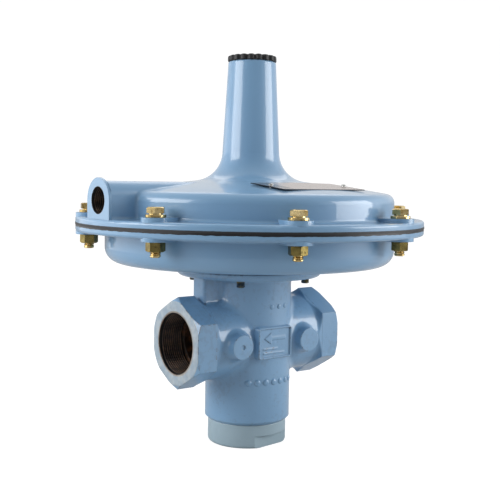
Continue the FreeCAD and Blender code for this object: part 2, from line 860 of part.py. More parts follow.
def bottom_plug():
    body = new_body("bottom_plug")
    floor = -dims.plug_floor
    groove = dims.plug_seal_section
    turned(
        body,
        "plug",
        [
            (0, -dims.joint_height),
            (dims.plug_radius, -dims.joint_height, dims.plug_round),
            (dims.plug_radius, -dims.plug_shoulder, dims.plug_round / 3),
            (dims.plug_stub_radius, -dims.plug_shoulder),
            (dims.plug_stub_radius, -dims.plug_seal_depth - groove),
            (dims.plug_stub_radius - 2 * groove, -dims.plug_seal_depth - groove),
            (dims.plug_stub_radius - 2 * groove, -dims.plug_seal_depth + groove),
            (dims.plug_stub_radius, -dims.plug_seal_depth + groove),
            (dims.plug_stub_radius, -dims.plug_stub_top),
            (dims.plug_bore, -dims.plug_stub_top),
            (dims.plug_bore, floor, dims.plug_round),
            (dims.plug_post_radius, floor, dims.plug_round),
            (dims.plug_post_radius, -dims.plug_post_top),
            (dims.bush_radius, -dims.plug_post_top),
            (dims.bush_radius, floor),
            (0, floor),
        ],
    )
    flats = new_sketch(body, "flat_outline", "XY_Plane", -dims.joint_height, dims.plug_flat_angle)
    side = 2 * dims.plug_radius
    draw_outline(
        flats,
        [
            (-side, -side),
            (side, -side),
            (side, -dims.plug_flat_distance),
            (-side, -dims.plug_flat_distance),
        ],
    )
    flat = pocket(body, "wrench_flat", flats, dims.plug_flat_height, back=True)
    around(body, "wrench_flats", [flat], dims.plug_flat_count)
    return keep(body)


def ring(label, inner, outer, bottom, height, chamfer=0):
    """A flat ring or, with no inner radius, a disc, with its top edge chamfered."""
    body = new_body(label)
    top = bottom + height
    corners = [(inner, bottom), (outer, bottom), (outer, top - chamfer)]
    if chamfer:
        corners.append((outer - chamfer, top))
    corners.append((inner, top))
    if not chamfer:
        corners[2] = (outer, top)
    turned(body, "ring", corners)
    return keep(body)


def hex_head(body, name, x, flats, bottom, height, angle=0):
    sketch = new_sketch(body, name + "_outline", "XY_Plane", bottom, angle)
    draw_hexagon(sketch, x, 0, flats)
    return pad(body, name, sketch, height)


def round_pad(body, name, x, radius, bottom, height, angle=0):
    sketch = new_sketch(body, name + "_outline", "XY_Plane", bottom, angle)
    draw_circle(sketch, x, 0, radius)
    return pad(body, name, sketch, height)


def round_hole(body, name, x, radius, angle=0):
    sketch = new_sketch(body, name + "_outline", "XY_Plane", 0, angle)
    draw_circle(sketch, x, 0, radius)
    return pocket(body, name, sketch, 2 * AXIS_FAR, both=True)


def case_fasteners():
    """Hexagon screws, spring washers and nuts round the case flange."""
    circle = dims.bolt_circle
    angle = dims.bolt_angle
    washer_base = dims.upper_flange_top + dims.bolt_pad_height
    head_base = washer_base + dims.lock_washer_height
    nut_top = -dims.lower_flange_bottom - dims.lower_pad_height

    bolts = new_body("casing_bolts")
    head = hex_head(bolts, "head", circle, dims.bolt_flats, head_base, dims.bolt_head_height, angle)
    shank = round_pad(
        bolts, "shank", circle, dims.bolt_shank, -dims.bolt_tip, dims.bolt_tip + head_base, angle
    )
    around(bolts, "bolts", [head, shank], dims.bolt_count)
    keep(bolts)

    washers = new_body("casing_lock_washers")
    rim = round_pad(
        washers, "rim", circle, dims.lock_washer_radius, washer_base, dims.lock_washer_height, angle
    )
    hole = round_hole(washers, "hole", circle, dims.bolt_hole, angle)
    around(washers, "washers", [rim, hole], dims.bolt_count)
    keep(washers)

    nuts = new_body("casing_nuts")
    nut = hex_head(
        nuts, "nut", circle, dims.bolt_flats, nut_top - dims.nut_height, dims.nut_height, angle
    )
    hole = round_hole(nuts, "hole", circle, dims.bolt_shank + dims.stem_fit, angle)
    around(nuts, "nuts", [nut, hole], dims.bolt_count)
    keep(nuts)


def body_fasteners():
    """Screws through the floor of the lower case into the flange of the valve body."""
    circle = dims.body_bolt_circle
    floor = dims.pan_wall - dims.pan_depth + dims.stem_fit
    head_base = floor + dims.body_washer_thickness

    bolts = new_body("body_bolts")
    head = hex_head(
        bolts, "head", circle, dims.body_bolt_flats, head_base, dims.body_bolt_head, 45
    )
    shank = round_pad(
        bolts,
        "shank",
        circle,
        dims.body_bolt_shank,
        -dims.body_bolt_tip,
        dims.body_bolt_tip + head_base,
        45,
    )
    around(bolts, "bolts", [head, shank], dims.body_bolt_count)
    keep(bolts)

    washers = new_body("body_bolt_washers")
    rim = round_pad(
        washers, "rim", circle, dims.body_washer_radius, floor, dims.body_washer_thickness, 45
    )
    hole = round_hole(washers, "hole", circle, dims.body_bolt_hole, 45)
    around(washers, "washers", [rim, hole], dims.body_bolt_count)
    keep(washers)


def seat_ring():
    body = new_body("seat_ring")
    flange_top = -dims.bridge_bottom - dims.seat_gasket_thickness
    lip_base = -dims.seat_flange_bottom
    turned(
        body,
        "ring",
        [
            (dims.seat_bore, -dims.seat_top),
            (dims.seat_thread - dims.stem_fit, -dims.seat_top),
            (dims.seat_thread - dims.stem_fit, flange_top),
            (dims.seat_flange_radius, flange_top),
            (dims.seat_flange_radius, lip_base),
            (dims.seat_lip_radius + 1, lip_base),
            (dims.seat_lip_radius, lip_base - dims.seat_lip),
            (dims.seat_bore, lip_base - dims.seat_lip),
        ],
    )
    keep(body)
    ring(
        "seat_gasket",
        dims.seat_thread + dims.stem_fit,
        dims.seat_flange_radius,
        flange_top,
        dims.seat_gasket_thickness,
    )


def valve_disc_parts():
    """The soft disc below the seat, its holder, its retainer and the nut that clamps them."""
    face = -dims.seat_flange_bottom - dims.seat_lip - dims.disc_gap - dims.travel
    disc_base = face - dims.disc_thickness
    holder_base = face - dims.holder_height
    shaft = dims.stem_radius + dims.stem_fit
    body = new_body("disc_holder")
    turned(
        body,
        "cup",
        [
            (shaft, holder_base),
            (dims.holder_radius, holder_base, dims.flange_round),
            (dims.holder_radius, face - 1),
            (dims.disc_outer_radius, face - 1),
            (dims.disc_outer_radius, disc_base),
            (shaft, disc_base),
        ],
    )
    keep(body)
    ring(
        "valve_disc",
        dims.disc_inner_radius,
        dims.disc_outer_radius - dims.stem_fit,
        disc_base,
        dims.disc_thickness,
    )
    body = new_body("disc_retainer")
    turned(
        body,
        "retainer",
        [
            (shaft, disc_base),
            (dims.disc_inner_radius - dims.stem_fit, disc_base),
            (dims.disc_inner_radius - dims.stem_fit, face),
            (dims.retainer_radius, face),
            (dims.retainer_radius, face + dims.retainer_height),
            (shaft, face + dims.retainer_height),
        ],
    )
    keep(body)
    nut = new_body("holder_nut")
    top = holder_base
    hex_head(nut, "nut", 0, dims.holder_nut_flats, top - dims.holder_nut_height, dims.holder_nut_height)
    round_hole(nut, "hole", 0, shaft)
    keep(nut)
    return face + dims.retainer_height


def valve_stem(collar_base):
    body = new_body("valve_stem")
    stem = dims.stem_radius
    top = dims.stem_top - dims.plates_drop
    tip = -dims.stem_bottom
    collar = dims.stem_collar_radius
    turned(
        body,
        "stem",
        [
            (0, tip),
            (stem - dims.stem_chamfer, tip),
            (stem, tip + dims.stem_chamfer),
            (stem, collar_base),
            (collar, collar_base),
            (collar, collar_base + dims.stem_collar_height),
            (stem, collar_base + dims.stem_collar_height),
            (stem, top - dims.stem_chamfer),
            (stem - dims.stem_chamfer, top),
            (0, top),
        ],
    )
    keep(body)


def stem_guides():
    """The headed bush in the neck, its seal, and the plain bush in the bottom plug."""
    shaft = dims.stem_radius + dims.stem_fit
    guide = new_body("stem_guide")
    groove = dims.stem_seal_section
    seal = -dims.stem_seal_depth
    bore = dims.guide_bore - dims.stem_fit
    turned(
        guide,
        "bush",
        [
            (shaft, -dims.ceiling_depth),
            (bore, -dims.ceiling_depth),
            (bore, body_top + dims.stem_fit),
            (dims.guide_head_radius, body_top + dims.stem_fit),
            (dims.guide_head_radius, body_top + dims.guide_head_height),
            (shaft, body_top + dims.guide_head_height),
            (shaft, seal + groove),
            (shaft + 2 * groove, seal + groove),
            (shaft + 2 * groove, seal - groove),
            (shaft, seal - groove),
        ],
    )
    keep(guide)
    o_ring("stem_seal", shaft + groove, groove - dims.stem_fit, seal)
    ring(
        "lower_guide_bush",
        shaft,
        dims.bush_radius - dims.stem_fit,
        -dims.plug_post_top - dims.bush_length,
        dims.bush_length,
    )


def o_ring(label, mean, section, height):
    torus = doc.addObject("Part::Torus", label)
    bind(torus, "Radius1", mean)
    bind(torus, "Radius2", section)
    torus.Label = label
    torus.setExpression("Placement.Base.z", (dims.joint_height + height).formula)
    subparts.append(torus)


def diaphragm_parts():
    """The main diaphragm at its low position, its two plates, and the nut on the stem."""
    thick = dims.diaphragm_thickness
    drop = dims.plates_drop
    low = joint_bottom - drop
    high = joint_top - drop
    shaft = dims.stem_radius + dims.stem_fit
    crest = dims.roll_height
    middle = (dims.roll_outer_radius + dims.roll_inner_radius) / 2
    body = new_body("main_diaphragm")
    turned(
        body,
        "sheet",
        [
            (shaft, low),
            (dims.roll_inner_radius + thick, low, dims.diaphragm_thickness),
            (dims.roll_inner_radius + thick, crest - thick, dims.roll_round),
            (dims.roll_outer_radius - thick, crest - thick, dims.roll_round),
            (dims.roll_outer_radius - thick, joint_bottom, dims.diaphragm_thickness),
            (dims.diaphragm_radius, joint_bottom),
            (dims.diaphragm_radius, joint_top),
            (dims.roll_outer_radius, joint_top, dims.diaphragm_thickness),
            (dims.roll_outer_radius, crest, dims.roll_round + thick),
            (dims.roll_inner_radius, crest, dims.roll_round + thick),
            (dims.roll_inner_radius, high, dims.diaphragm_thickness),
            (shaft, high),
        ],
    )
    round_bolt = round_hole(body, "bolt_hole", dims.bolt_circle, dims.bolt_hole, dims.bolt_angle)
    around(body, "bolt_holes", [round_bolt], dims.bolt_count)
    keep(body)
    for label, base, side in (("upper_plate", high, 1), ("lower_plate", low, -1)):
        body = new_body(label)
        sheet = side * dims.plate_thickness
        lip = side * dims.plate_rim
        edge = dims.plate_radius
        turned(
            body,
            "pan",
            [
                (shaft, base),
                (edge, base, dims.plate_round),
                (edge, base + lip),
                (edge - dims.plate_thickness, base + lip),
                (edge - dims.plate_thickness, base + sheet, dims.plate_round / 2),
                (shaft, base + sheet),
            ],
        )
        keep(body)
    seat_base = high + dims.plate_thickness
    body = new_body("lower_spring_seat")
    turned(
        body,
        "seat",
        [
            (shaft, seat_base),
            (dims.lower_seat_radius, seat_base),
            (dims.lower_seat_radius, seat_base + dims.lower_seat_height),
            (dims.lower_seat_spigot, seat_base + dims.lower_seat_height),
            (dims.lower_seat_spigot, seat_base + dims.lower_seat_spigot_height),
            (shaft, seat_base + dims.lower_seat_spigot_height),
        ],
    )
    keep(body)
    nut = new_body("stem_nut")
    nut_base = seat_base + dims.lower_seat_spigot_height
    hex_head(nut, "nut", 0, dims.stem_nut_flats, nut_base, dims.stem_nut_height)
    round_hole(nut, "hole", 0, shaft)
    keep(nut)
    body = new_body("stem_sleeve")
    sleeve_top = low - dims.plate_thickness
    sleeve_base = body_top + dims.guide_head_height + dims.disc_gap
    turned(
        body,
        "sleeve",
        [
            (shaft, sleeve_base),
            (dims.bush_radius, sleeve_base),
            (dims.bush_radius, sleeve_top - dims.stem_collar_height),
            (dims.guide_bore, sleeve_top - dims.stem_collar_height),
            (dims.guide_bore, sleeve_top),
            (shaft, sleeve_top),
        ],
    )
    keep(body)
    return seat_base + dims.lower_seat_height


def balance_parts():
    """The small rolling diaphragm that balances the inlet pressure under the disc."""
    shaft = dims.stem_radius + dims.stem_fit
    thick = dims.balance_thickness
    low = -dims.ledge_depth - thick
    depth = dims.balance_roll_depth
    roll = dims.balance_roll_outer - dims.balance_roll_inner
    body = new_body("balance_diaphragm")
    turned(
        body,
        "sheet",
        [
            (shaft, low),
            (dims.balance_roll_inner, low),
            (dims.balance_roll_inner, low - depth, thick),
            (dims.balance_roll_inner + roll - thick, low - depth, thick),
            (dims.balance_roll_inner + roll - thick, low),
            (dims.balance_outer_radius, low),
            (dims.balance_outer_radius, low + thick - dims.stem_fit),
            (dims.balance_roll_inner + roll - 2 * thick, low + thick - dims.stem_fit),
            (dims.balance_roll_inner + roll - 2 * thick, low - depth + thick),
            (dims.balance_roll_inner + thick, low - depth + thick),
            (dims.balance_roll_inner + thick, low + thick - dims.stem_fit),
            (shaft, low + thick - dims.stem_fit),
        ],
    )
    keep(body)
    ring(
        "balance_piston",
        shaft,
        dims.balance_piston_radius,
        low + thick,
        dims.balance_piston_height,
    )
    ring(
        "balance_washer",
        shaft,
        dims.balance_piston_radius - 1,
        low - dims.body_washer_thickness,
        dims.body_washer_thickness,
    )
    nut = new_body("balance_nut")
    nut_top = low - dims.body_washer_thickness
    height = dims.balance_nut_height
    hex_head(nut, "nut", 0, dims.balance_nut_flats, nut_top - height, height)
    round_hole(nut, "hole", 0, shaft)
    keep(nut)


def spring_parts(spring_base):
    """The control spring, the seat on top of it and the adjusting screw that presses it."""
    seat_base = dims.upper_seat_bottom
    spring_top = seat_base - dims.spring_end_gap
    wire = dims.spring_wire
    height = spring_top - spring_base - dims.spring_end_gap - 2 * wire
    turns = dims.spring_turns.value
    start = (spring_base + dims.spring_end_gap + wire).value
    helix = Part.makeHelix(height.value / turns, height.value, dims.spring_mean_radius.value)
    helix.translate(FreeCAD.Vector(0, 0, start))
    first = FreeCAD.Vector(dims.spring_mean_radius.value, 0, start)
    section = Part.Wire([Part.makeCircle(wire.value, first, FreeCAD.Vector(0, 1, 0))])
    coil = Part.Wire(helix.Edges).makePipeShell([section], True, True)
    spring = doc.addObject("Part::Feature", "control_spring")
    spring.Shape = coil
    keep(spring, "control_spring")

    body = new_body("upper_spring_seat")
    spigot = seat_base - dims.upper_seat_spigot_length
    turned(
        body,
        "seat",
        [
            (dims.screw_centre_bore, spigot),
            (dims.lower_seat_spigot, spigot),
            (dims.lower_seat_spigot, seat_base),
            (dims.upper_seat_radius, seat_base),
            (dims.upper_seat_radius, seat_base + dims.upper_seat_height),
            (dims.screw_centre_bore, seat_base + dims.upper_seat_height),
        ],
    )
    keep(body)

    body = new_body("adjusting_screw")
    base = seat_base + dims.upper_seat_height + dims.screw_gap
    top = base + dims.screw_height
    turned(
        body,
        "screw",
        [
            (dims.screw_centre_bore, base),
            (dims.screw_radius, base),
            (dims.screw_radius, top - dims.stem_chamfer),
            (dims.screw_radius - dims.stem_chamfer, top),
            (dims.screw_centre_bore, top),
        ],
    )
    slot = new_sketch(body, "slot_outline", "XY_Plane", top)
    half = dims.screw_slot_width / 2
    reach = dims.screw_radius + 1
    draw_outline(slot, [(-reach, -half), (reach, -half), (reach, half), (-reach, half)])
    pocket(body, "slot", slot, dims.screw_slot_depth)
    keep(body)


def seal_cap():
    body = new_body("seal_cap")
    under = dims.cap_underside
    plug_base = dims.tower_top - dims.cap_plug_length
    bore = dims.cap_plug_radius - dims.cap_plug_wall
    roof = under + dims.gasket_thickness
    turned(
        body,
        "cap",
        [
            (0, dims.cap_top - dims.cap_recess_depth),
            (dims.cap_recess_radius, dims.cap_top - dims.cap_recess_depth),
            (dims.cap_recess_radius + dims.cap_recess_depth, dims.cap_top),
            (dims.cap_radius, dims.cap_top, dims.cap_round),
            (dims.cap_radius, under),
            (dims.gasket_outer_radius + dims.stem_fit, under),
            (dims.gasket_outer_radius + dims.stem_fit, roof - dims.gasket_gap),
            (dims.cap_plug_radius, roof - dims.gasket_gap),
            (dims.cap_plug_radius, plug_base),
            (bore, plug_base),
            (bore, under),
            (0, under),
        ],
    )
    flute = new_sketch(body, "flute_outline", "XY_Plane", dims.cap_top)
    draw_circle(flute, dims.cap_flute_circle, 0, dims.cap_flute_radius)
    cut = pocket(body, "flute", flute, 2 * dims.cap_top - 2 * under, both=True)
    around(body, "flutes", [cut], dims.cap_flutes)
    keep(body)
    bottom = dims.tower_top + dims.gasket_gap
    ring(
        "cap_gasket",
        dims.gasket_inner_radius,
        dims.gasket_outer_radius,
        bottom,
        roof - 2 * dims.gasket_gap - bottom,
    )


def nameplate():
    """A thin plate bent to the dome, with two holes for its drive pins."""
    inner = dims.plate_inner_edge - 10
    outer = dims.plate_outer_edge + 15

    def dome(radius, rise):
        return (radius, dims.knee_height + (dims.knee_radius - radius) * dome_slope() + rise)

    gap = dims.plate_stand_off
    skin = new_body("nameplate_skin")
    turned(
        skin,
        "skin",
        [
            dome(inner, gap),
            dome(outer, gap),
            dome(outer, gap + dims.plate_metal),
            dome(inner, gap + dims.plate_metal),
        ],
    )
    block = new_body("nameplate_block")
    sketch = new_sketch(block, "plate_outline", "XY_Plane", 0)
    half = dims.plate_half_length
    corner = dims.plate_corner
    draw_outline(
        sketch,
        [
            (-half, -dims.plate_outer_edge, corner),
            (half, -dims.plate_outer_edge, corner),
            (half, -dims.plate_inner_edge, corner),
            (-half, -dims.plate_inner_edge, corner),
        ],
    )
    for side in (-1, 1):
        draw_circle(sketch, side * dims.pin_spacing, -dims.pin_row, dims.pin_shank + dims.stem_fit)
    pad(block, "block", sketch, 2 * dims.knee_height)
    plate = doc.addObject("Part::Common", "nameplate")
    plate.Base = skin
    plate.Tool = block
    settle(plate)
    keep(plate, "nameplate")


def drive_pins():
    """Drive pins whose shanks go through the nameplate into the dome."""
    body = new_body("nameplate_pins")
    foot = pin_level() - dims.pin_depth + dims.stem_fit
    seat = pin_level() + dims.plate_stand_off + dims.plate_metal
    seat = seat + dome_slope() * dims.pin_radius + dims.stem_fit
    for side, name in ((-1, "left"), (1, "right")):
        shank = new_sketch(body, name + "_shank_outline", "XY_Plane", foot)
        draw_circle(shank, side * dims.pin_spacing, -dims.pin_row, dims.pin_shank)
        pad(body, name + "_shank", shank, seat - foot)
        head = new_sketch(body, name + "_head_outline", "XY_Plane", seat)
        draw_circle(head, side * dims.pin_spacing, -dims.pin_row, dims.pin_radius)
        pad(body, name + "_head", head, dims.pin_height)
    keep(body)


def vent_screen():
    body = new_body("vent_screen")
    place = dims.vent_thread_length + 4 - dims.vent_face
    sketch = new_sketch(body, "screen_outline", "YZ_Plane", place)
    draw_circle(sketch, 0, dims.vent_height, dims.vent_passage_radius - dims.stem_fit)
    pad(body, "screen", sketch, dims.plate_metal)
    keep(body)


upper_casing()
lower_casing()
body_gasket()
valve_body()
bottom_plug()
case_fasteners()
body_fasteners()
seat_ring()
collar_base = valve_disc_parts()
valve_stem(collar_base)
stem_guides()
spring_base = diaphragm_parts()
balance_parts()
spring_parts(spring_base)
seal_cap()
nameplate()
drive_pins()
vent_screen()
o_ring(
    "plug_seal",
    dims.plug_stub_radius - dims.plug_seal_section,
    dims.plug_seal_section - dims.stem_fit,
    -dims.plug_seal_depth,
)

doc.recompute()
for thing in doc.Objects:
    if "Invalid" in thing.State or "Error" in thing.State:
        raise RuntimeError(f"{thing.Name}: {thing.State}")

os.makedirs("parts", exist_ok=True)
for part in subparts:
    shape = part.Shape
    if shape.isNull() or not shape.isValid():
        raise RuntimeError(f"{part.Label} has no valid shape")
    shape.exportStep(f"parts/{part.Label}.step")
    size = shape.BoundBox
    print(
        f"{part.Label:22s} {len(shape.Solids):2d} solids {shape.Volume / 1000:9.2f} cm3"
        f"  x {size.XMin:7.1f} {size.XMax:7.1f}  z {size.ZMin:6.1f} {size.ZMax:6.1f}"
    )
print(len(subparts), "sub-parts")
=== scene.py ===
# %% [markdown]
# # A pressure reducing valve, from bare shape to finished paint
# The castings, screws and seals of this valve already exist as solid shapes, and each one
# knows which body it moves with. This lesson gives them what the eye looks for: glossy blue
# enamel on iron, yellow zinc on the screws, threads in the ports, and soft light.
# Everything is in metres, Z is up, and the valve stands on its bottom plug at the origin.

# %% Load the shapes and measure them
import math

import bmesh
import bpy
from mathutils import Matrix, Quaternion, Vector


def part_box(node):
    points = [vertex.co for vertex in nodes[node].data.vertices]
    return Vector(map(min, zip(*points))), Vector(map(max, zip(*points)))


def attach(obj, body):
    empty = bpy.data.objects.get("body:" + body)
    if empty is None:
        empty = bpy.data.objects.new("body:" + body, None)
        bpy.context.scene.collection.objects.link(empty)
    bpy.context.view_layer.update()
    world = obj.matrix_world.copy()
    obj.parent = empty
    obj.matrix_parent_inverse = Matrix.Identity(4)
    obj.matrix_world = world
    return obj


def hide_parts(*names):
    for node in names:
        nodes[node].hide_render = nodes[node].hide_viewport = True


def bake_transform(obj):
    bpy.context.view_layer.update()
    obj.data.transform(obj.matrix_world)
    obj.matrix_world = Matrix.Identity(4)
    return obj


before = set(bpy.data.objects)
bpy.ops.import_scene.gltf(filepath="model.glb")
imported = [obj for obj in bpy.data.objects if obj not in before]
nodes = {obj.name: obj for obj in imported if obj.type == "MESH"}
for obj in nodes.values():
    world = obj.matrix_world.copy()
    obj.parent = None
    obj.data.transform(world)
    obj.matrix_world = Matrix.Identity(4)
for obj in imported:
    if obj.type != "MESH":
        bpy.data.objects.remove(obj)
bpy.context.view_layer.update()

# %% [markdown]
# ## Where things are
# The drawings of this valve measure every height from the joint between the two case
# halves, where the diaphragm is clamped. The lesson does the same: a new piece is drawn in
# millimetres with height 0 at that joint, and one matrix turns it into metres at its place.
# The joint is read from the shapes, so it stays right when a shape is changed.

# %% The joint, the pipe axis and the matrix from drawing to scene
MM = 0.001
joint = (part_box("upper_casing")[0].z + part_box("lower_casing")[1].z) / 2
drawing = Matrix.Translation((0, 0, joint)) @ Matrix.Scale(MM, 4)
PIPE = -109.0
PORT_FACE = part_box("valve_body")[1].x / MM
BARREL = 41.0
NECK = 36.9
print("joint", round(joint, 4), "port face", round(PORT_FACE, 2))

# %% [markdown]
# ## The camera
# A long lens a little above the case joint, turned towards the outlet port, so that the
# port and the vent both show their faces. `to_track_quat` aims the camera, and a small turn
# about its own axis gives the slight roll of a hand-held view.

# %% Camera
AZIMUTH = math.radians(37.36)
ELEVATION = math.radians(4.34)
ROLL = math.radians(0.9)
DISTANCE = 0.87273
LENS = 65.07
SENSOR = 36
AIM_BELOW_JOINT = 25.58
AIM_RIGHT = 0.69

level = math.cos(ELEVATION)
forward = Vector((math.sin(AZIMUTH) * level, math.cos(AZIMUTH) * level, -math.sin(ELEVATION)))
rightward = Vector((math.cos(AZIMUTH), -math.sin(AZIMUTH), 0))
aim = Vector((0, 0, joint - AIM_BELOW_JOINT * MM)) + rightward * AIM_RIGHT * MM

camera_data = bpy.data.cameras.new("camera")
camera_data.lens = LENS
camera_data.sensor_width = SENSOR
camera = bpy.data.objects.new("camera", camera_data)
bpy.context.scene.collection.objects.link(camera)
camera.location = aim - forward * DISTANCE
camera.rotation_mode = "QUATERNION"
camera.rotation_quaternion = forward.to_track_quat("-Z", "Y") @ Quaternion((0, 0, 1), ROLL)
bpy.context.scene.camera = camera
print("camera at", [round(v, 3) for v in camera.location])

# %% [markdown]
# ## Helpers for node trees
# A shader is a tree of small nodes. Three helpers make a node, link or set its inputs, and do
# a sum, so that each finish further down reads like a recipe.

# %% Making, feeding and summing nodes
def feed(tree, socket, value):
    """Links a socket to another one, or sets it to a plain value."""
    if isinstance(value, bpy.types.NodeSocket):
        tree.links.new(value, socket)
    else:
        socket.default_value = value


def node(tree, kind, settings=(), **inputs):
    """A node with some settings, and its named inputs linked or set."""
    made = tree.nodes.new(kind)
    for key, value in dict(settings).items():
        setattr(made, key, value)
    for key, value in inputs.items():
        feed(tree, made.inputs[key.replace("_", " ")], value)
    return made


def calc(tree, operation, *values, clamp=False):
    made = tree.nodes.new("ShaderNodeMath")
    made.operation = operation
    made.use_clamp = clamp
    for socket, value in zip(made.inputs, values):
        feed(tree, socket, value)
    return made.outputs[0]


print("three helpers:", feed.__name__, node.__name__, calc.__name__)

# %% [markdown]
# The same few steps come back in every finish: a product, a difference, a noise at the
# object's own coordinates, one axis of a place, a soft step and a blend of two colours.
# Short names keep the recipes on one line.

# %% Short names for the steps that come back
def times(tree, first, second):
    return calc(tree, "MULTIPLY", first, second)


def minus(tree, first, second):
    return calc(tree, "SUBTRACT", first, second)


def plus(tree, first, second):
    return calc(tree, "ADD", first, second)


def above(tree, value, limit):
    return calc(tree, "GREATER_THAN", value, limit)


def below(tree, value, limit):
    return calc(tree, "LESS_THAN", value, limit)


def noise(tree, place, scale, detail, **more):
    made = node(tree, "ShaderNodeTexNoise", Vector=place, Scale=scale, Detail=detail, **more)
    return made.outputs["Fac"]


def axis(tree, place, letter):
    return node(tree, "ShaderNodeSeparateXYZ", Vector=place).outputs[letter]


def vector_math(tree, operation, *values):
    made = node(tree, "ShaderNodeVectorMath", {"operation": operation})
    for socket, value in zip(made.inputs, values):
        feed(tree, socket, value)
    return made.outputs


def between(tree, value, source, target=(0.0, 1.0), kind="LINEAR"):
    """Carries a value from one span to another, and stops at both ends."""
    made = node(tree, "ShaderNodeMapRange", {"interpolation_type": kind}, Value=value)
    made.inputs["From Min"].default_value, made.inputs["From Max"].default_value = source
    made.inputs["To Min"].default_value, made.inputs["To Max"].default_value = target
    return made.outputs["Result"]


def ramp(tree, value, low, high):
    """0 below low and 1 above high, with a smooth step between them."""
    return between(tree, value, (low, high), kind="SMOOTHSTEP")


def mix(tree, factor, first, second):
    made = tree.nodes.new("ShaderNodeMix")
    made.data_type = "RGBA"
    sockets = (made.inputs[0], made.inputs[6], made.inputs[7])
    for socket, value in zip(sockets, (factor, first, second)):
        feed(tree, socket, value)
    return made.outputs[2]


def mix_shader(tree, factor, first, second):
    made = tree.nodes.new("ShaderNodeMixShader")
    for socket, value in zip(made.inputs, (factor, first, second)):
        feed(tree, socket, value)
    return made.outputs[0]


def shade(red, green, blue):
    """A screen colour, 0 to 255, as the linear numbers that the nodes use."""
    linear = []
    for part in (red / 255, green / 255, blue / 255):
        linear.append(part / 12.92 if part <= 0.04045 else ((part + 0.055) / 1.055) ** 2.4)
    return (*linear, 1.0)


print("a mid grey on the screen is", round(shade(128, 128, 128)[0], 3), "in the nodes")

# %% [markdown]
# ## Light
# Glossy enamel is a mirror for whatever stands round it, so each light is placed for its
# reflection. A soft box on the left and one on the right draw the two pale stripes down the
# tower, and the right one hangs lower, so that it also shows on the wall of the case. A wide
# weak box low on the far left lifts the faces of the outlet port and the vent, and one high
# behind the valve gives the dome its light rim.

# %% Soft boxes
toward_camera = Vector((-forward.x, -forward.y, 0)).normalized()


def around_camera(degrees):
    """The level direction a number of degrees to the right of the one to the camera."""
    turn = math.radians(degrees)
    return toward_camera * math.cos(turn) + rightward * math.sin(turn)


def soft_box(name, degrees, distance, height, width, tall, watts):
    data = bpy.data.lights.new(name, "AREA")
    data.shape = "RECTANGLE"
    data.size = width
    data.size_y = tall
    data.energy = watts
    light = bpy.data.objects.new(name, data)
    bpy.context.scene.collection.objects.link(light)
    light.location = around_camera(degrees) * distance + Vector((0, 0, height))
    aim_at = Vector((0, 0, height * 0.5 + 0.12))
    light.rotation_mode = "QUATERNION"
    light.rotation_quaternion = (aim_at - light.location).to_track_quat("-Z", "Y")


soft_box("left_box", -66, distance=1.20, height=0.60, width=0.95, tall=0.62, watts=10.0)
soft_box("low_left_box", -108, distance=1.50, height=0.27, width=1.8, tall=0.50, watts=2.2)
soft_box("right_box", 84, distance=1.10, height=0.475, width=0.78, tall=0.61, watts=7.6)
soft_box("top_box", 178, distance=1.10, height=1.35, width=1.2, tall=0.9, watts=3.5)

# %% [markdown]
# ## The room
# The room is white where the camera looks at it. For reflections it runs from dim in front
# to bright behind, by the angle between each direction and the one to the camera. The dim
# part leaves the middle of each round form in the paint's own colour.

# %% The room
ROOM_FRONT = 0.26
ROOM_BEHIND = 1.10

world = bpy.data.worlds.new("room")
world.use_nodes = True
bpy.context.scene.world = world
tree = world.node_tree
tree.nodes.clear()
direction = tree.nodes.new("ShaderNodeTexCoord").outputs["Generated"]
facing = vector_math(tree, "DOT_PRODUCT", direction, toward_camera)["Value"]
strength = between(tree, facing, (-0.6, 0.8), (ROOM_BEHIND, ROOM_FRONT))
lit = node(tree, "ShaderNodeBackground", Color=(0.93, 0.96, 1, 1), Strength=strength)
seen = node(tree, "ShaderNodeBackground", Color=(1, 1, 1, 1))
to_camera = tree.nodes.new("ShaderNodeLightPath").outputs["Is Camera Ray"]
both = mix_shader(tree, to_camera, lit.outputs[0], seen.outputs[0])
tree.links.new(both, tree.nodes.new("ShaderNodeOutputWorld").inputs["Surface"])
bpy.context.scene.view_settings.view_transform = "Standard"
print("room from", ROOM_FRONT, "in front to", ROOM_BEHIND, "behind")

# %% [markdown]
# ## A paper sweep
# The valve stands on a roll of paper that curves up behind it, so there is no horizon. The
# sweep is one line of points, drawn out sideways into a sheet and turned to face the camera.

# %% Paper sweep
PAPER_REACH = 2.4
PAPER_RISE = 1.2
PAPER_HALF_WIDTH = 3
PAPER_HEIGHT = 4
CURVE_STEPS = 16

profile = [(-3, 0), (PAPER_REACH - PAPER_RISE, 0)]
for step in range(1, CURVE_STEPS + 1):
    turn = math.radians(90 * step / CURVE_STEPS)
    y = PAPER_REACH - PAPER_RISE + PAPER_RISE * math.sin(turn)
    profile.append((y, PAPER_RISE * (1 - math.cos(turn))))
profile.append((PAPER_REACH, PAPER_HEIGHT))

bm = bmesh.new()
line = [bm.verts.new((-PAPER_HALF_WIDTH, y, z)) for y, z in profile]
edges = [bm.edges.new(pair) for pair in zip(line, line[1:])]
drawn = bmesh.ops.extrude_edge_only(bm, edges=edges)["geom"]
far_side = [v for v in drawn if isinstance(v, bmesh.types.BMVert)]
bmesh.ops.translate(bm, verts=far_side, vec=(2 * PAPER_HALF_WIDTH, 0, 0))
bmesh.ops.rotate(bm, verts=bm.verts, matrix=Matrix.Rotation(-AZIMUTH, 3, "Z"))
bmesh.ops.recalc_face_normals(bm, faces=bm.faces)
for face in bm.faces:
    face.smooth = True
paper_mesh = bpy.data.meshes.new("paper_sweep")
bm.to_mesh(paper_mesh)
bm.free()
paper = bpy.data.objects.new("paper_sweep", paper_mesh)
bpy.context.scene.collection.objects.link(paper)
print("paper", len(paper_mesh.polygons), "faces")

